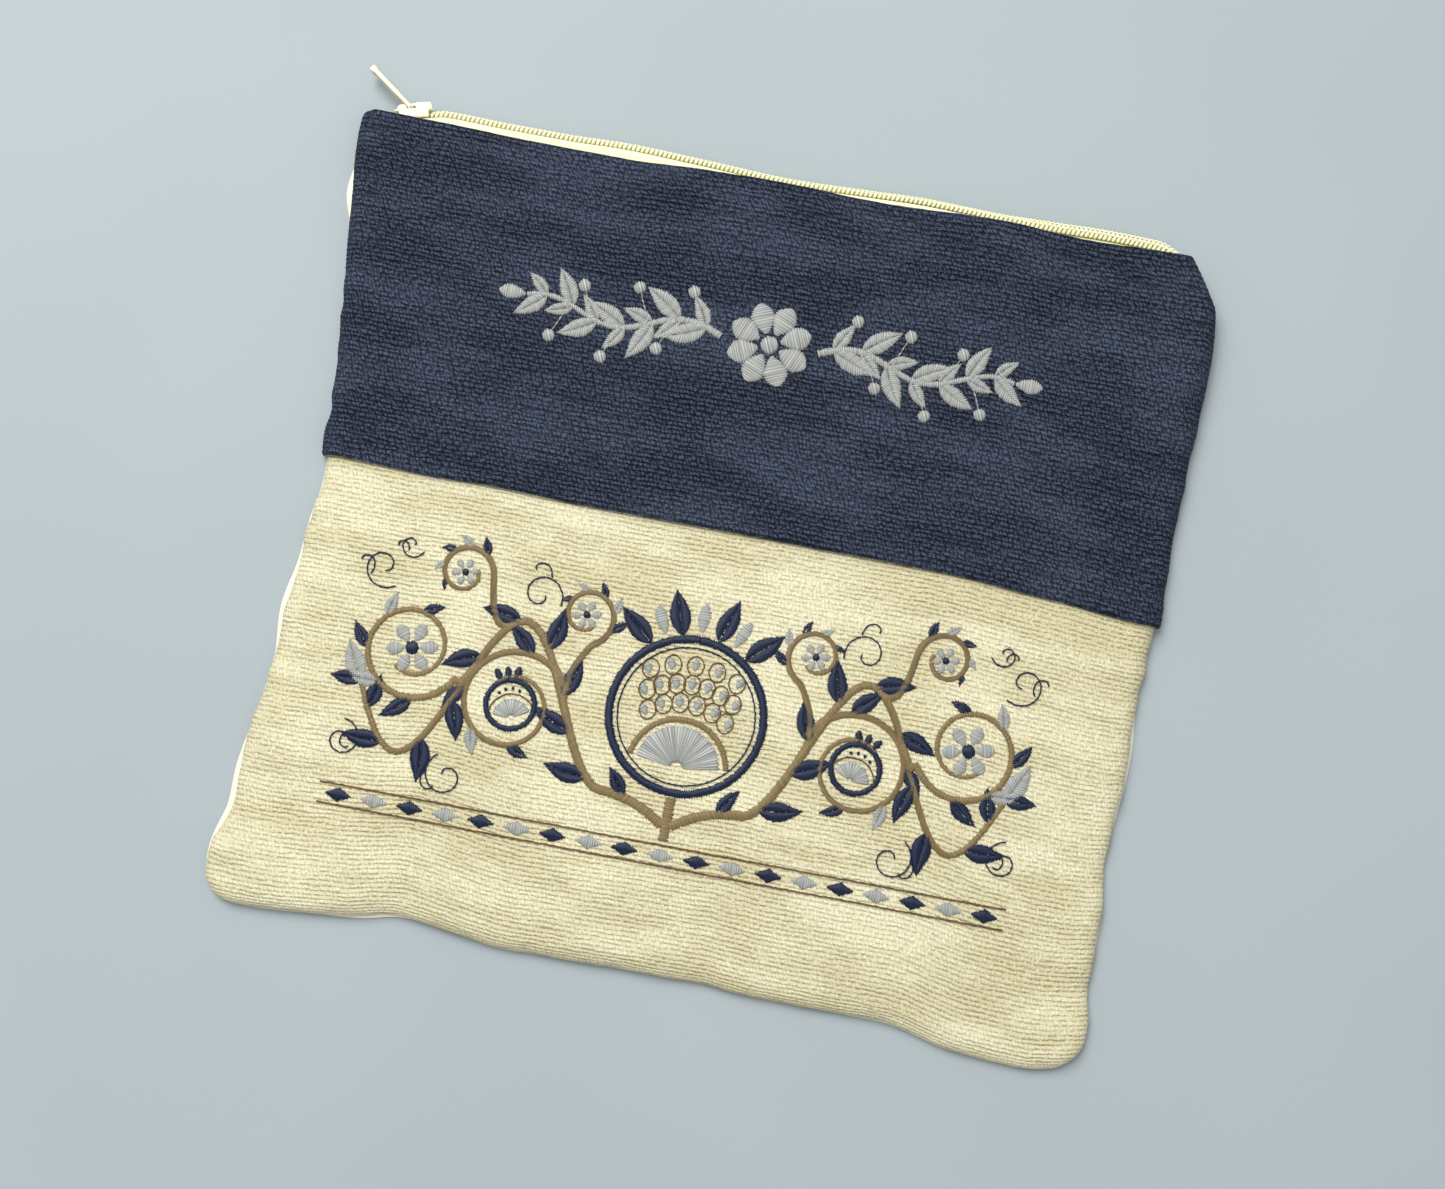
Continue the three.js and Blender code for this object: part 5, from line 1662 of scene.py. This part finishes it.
class POUCH_OT_stage(bpy.types.Operator):
    """Adds the table top, the soft light and the camera"""

    bl_idname = "pouch.stage"
    bl_label = "Stage"

    def execute(self, context):
        settings = context.scene.pouch_stage
        mesh = bpy.data.meshes.new("table_top")
        corners = [(-4, -4, 0), (4, -4, 0), (4, 4, 0), (-4, 4, 0)]
        mesh.from_pydata(corners, [], [(0, 1, 2, 3)])
        floor = bpy.data.objects.new("table_top", mesh)
        context.scene.collection.objects.link(floor)
        floor.data.materials.append(table_cloth("table_cloth", settings.floor_color))
        floor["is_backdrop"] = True
        self.add_light("window_light", size=1.2, power=40, place=(-0.66, 0.86, 1.6))
        self.add_light("fill_light", size=2.0, power=6, place=(0.8, -0.9, 1.7))
        world = bpy.data.worlds.new("room")
        world.use_nodes = True
        backdrop = world.node_tree.nodes["Background"]
        backdrop.inputs["Color"].default_value = (1, 1, 1, 1)
        backdrop.inputs["Strength"].default_value = 0.46
        context.scene.world = world
        context.scene.view_settings.view_transform = "Standard"
        self.add_camera(context, settings)
        return {"FINISHED"}

    def add_light(self, name, size, power, place):
        light = bpy.data.lights.new(name, "AREA")
        light.size = size
        light.energy = power
        lamp = bpy.data.objects.new(name, light)
        lamp.location = place
        lamp.rotation_mode = "QUATERNION"
        lamp.rotation_quaternion = (-Vector(place)).to_track_quat("-Z", "Y")
        bpy.context.scene.collection.objects.link(lamp)

    def add_camera(self, context, settings):
        """Camera in the photograph's place, with the aimed spot at its pixel."""
        focal = settings.lens / SENSOR_WIDTH * PHOTO_WIDTH
        up_way = Vector((-math.sin(settings.turn), math.cos(settings.turn), 0))
        right = Vector((math.cos(settings.turn), math.sin(settings.turn), 0))
        back = math.cos(settings.tilt) * Vector((0, 0, 1)) - math.sin(settings.tilt) * up_way
        up = back.cross(right)
        across = (AIM_PIXEL[0] - PHOTO_WIDTH / 2) / focal
        down = (AIM_PIXEL[1] - PHOTO_HEIGHT / 2) / focal
        way = across * right - down * up - back
        aim = (SHIFT + Vector((0, AIM_HEIGHT, 0))) * MM
        camera = bpy.data.cameras.new("photo_camera")
        camera.lens = settings.lens
        camera.sensor_width = SENSOR_WIDTH
        camera.clip_start = 0.05
        camera.clip_end = 20
        view = bpy.data.objects.new("photo_camera", camera)
        axes = Matrix((right, up, back)).transposed().to_4x4()
        view.matrix_world = Matrix.Translation(aim - way * settings.distance) @ axes
        context.scene.collection.objects.link(view)
        context.scene.camera = view


class POUCH_PT_panel(bpy.types.Panel):
    bl_label = "Prayer shawl pouch"
    bl_space_type = "VIEW_3D"
    bl_region_type = "UI"
    bl_category = "Pouch"

    def draw(self, context):
        for operator in OPERATORS:
            self.layout.operator(operator.bl_idname)


SETTINGS = {
    "pouch_cloth": ClothSettings,
    "pouch_zip": ZipSettings,
    "pouch_thread": ThreadSettings,
    "pouch_stage": StageSettings,
}
OPERATORS = (
    POUCH_OT_back_panel,
    POUCH_OT_front_panel,
    POUCH_OT_upper_panel,
    POUCH_OT_zip,
    POUCH_OT_slider,
    POUCH_OT_pull_tab,
    POUCH_OT_sprig,
    POUCH_OT_vine,
    POUCH_OT_stage,
)


def register():
    for group in (*SETTINGS.values(), *OPERATORS, POUCH_PT_panel):
        bpy.utils.register_class(group)
    for name, group in SETTINGS.items():
        setattr(bpy.types.Scene, name, PointerProperty(type=group))


def unregister():
    for name in SETTINGS:
        delattr(bpy.types.Scene, name)
    for group in (POUCH_PT_panel, *OPERATORS, *SETTINGS.values()):
        bpy.utils.unregister_class(group)


def main():
    register()
    for operator in OPERATORS:
        module, name = operator.bl_idname.split(".")
        getattr(getattr(bpy.ops, module), name)()
    corners = {"cad": cad_box, "visual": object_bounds()}
    {name: [list(corner) for corner in box] for name, box in corners.items()}


if __name__ == "__main__":
    main()
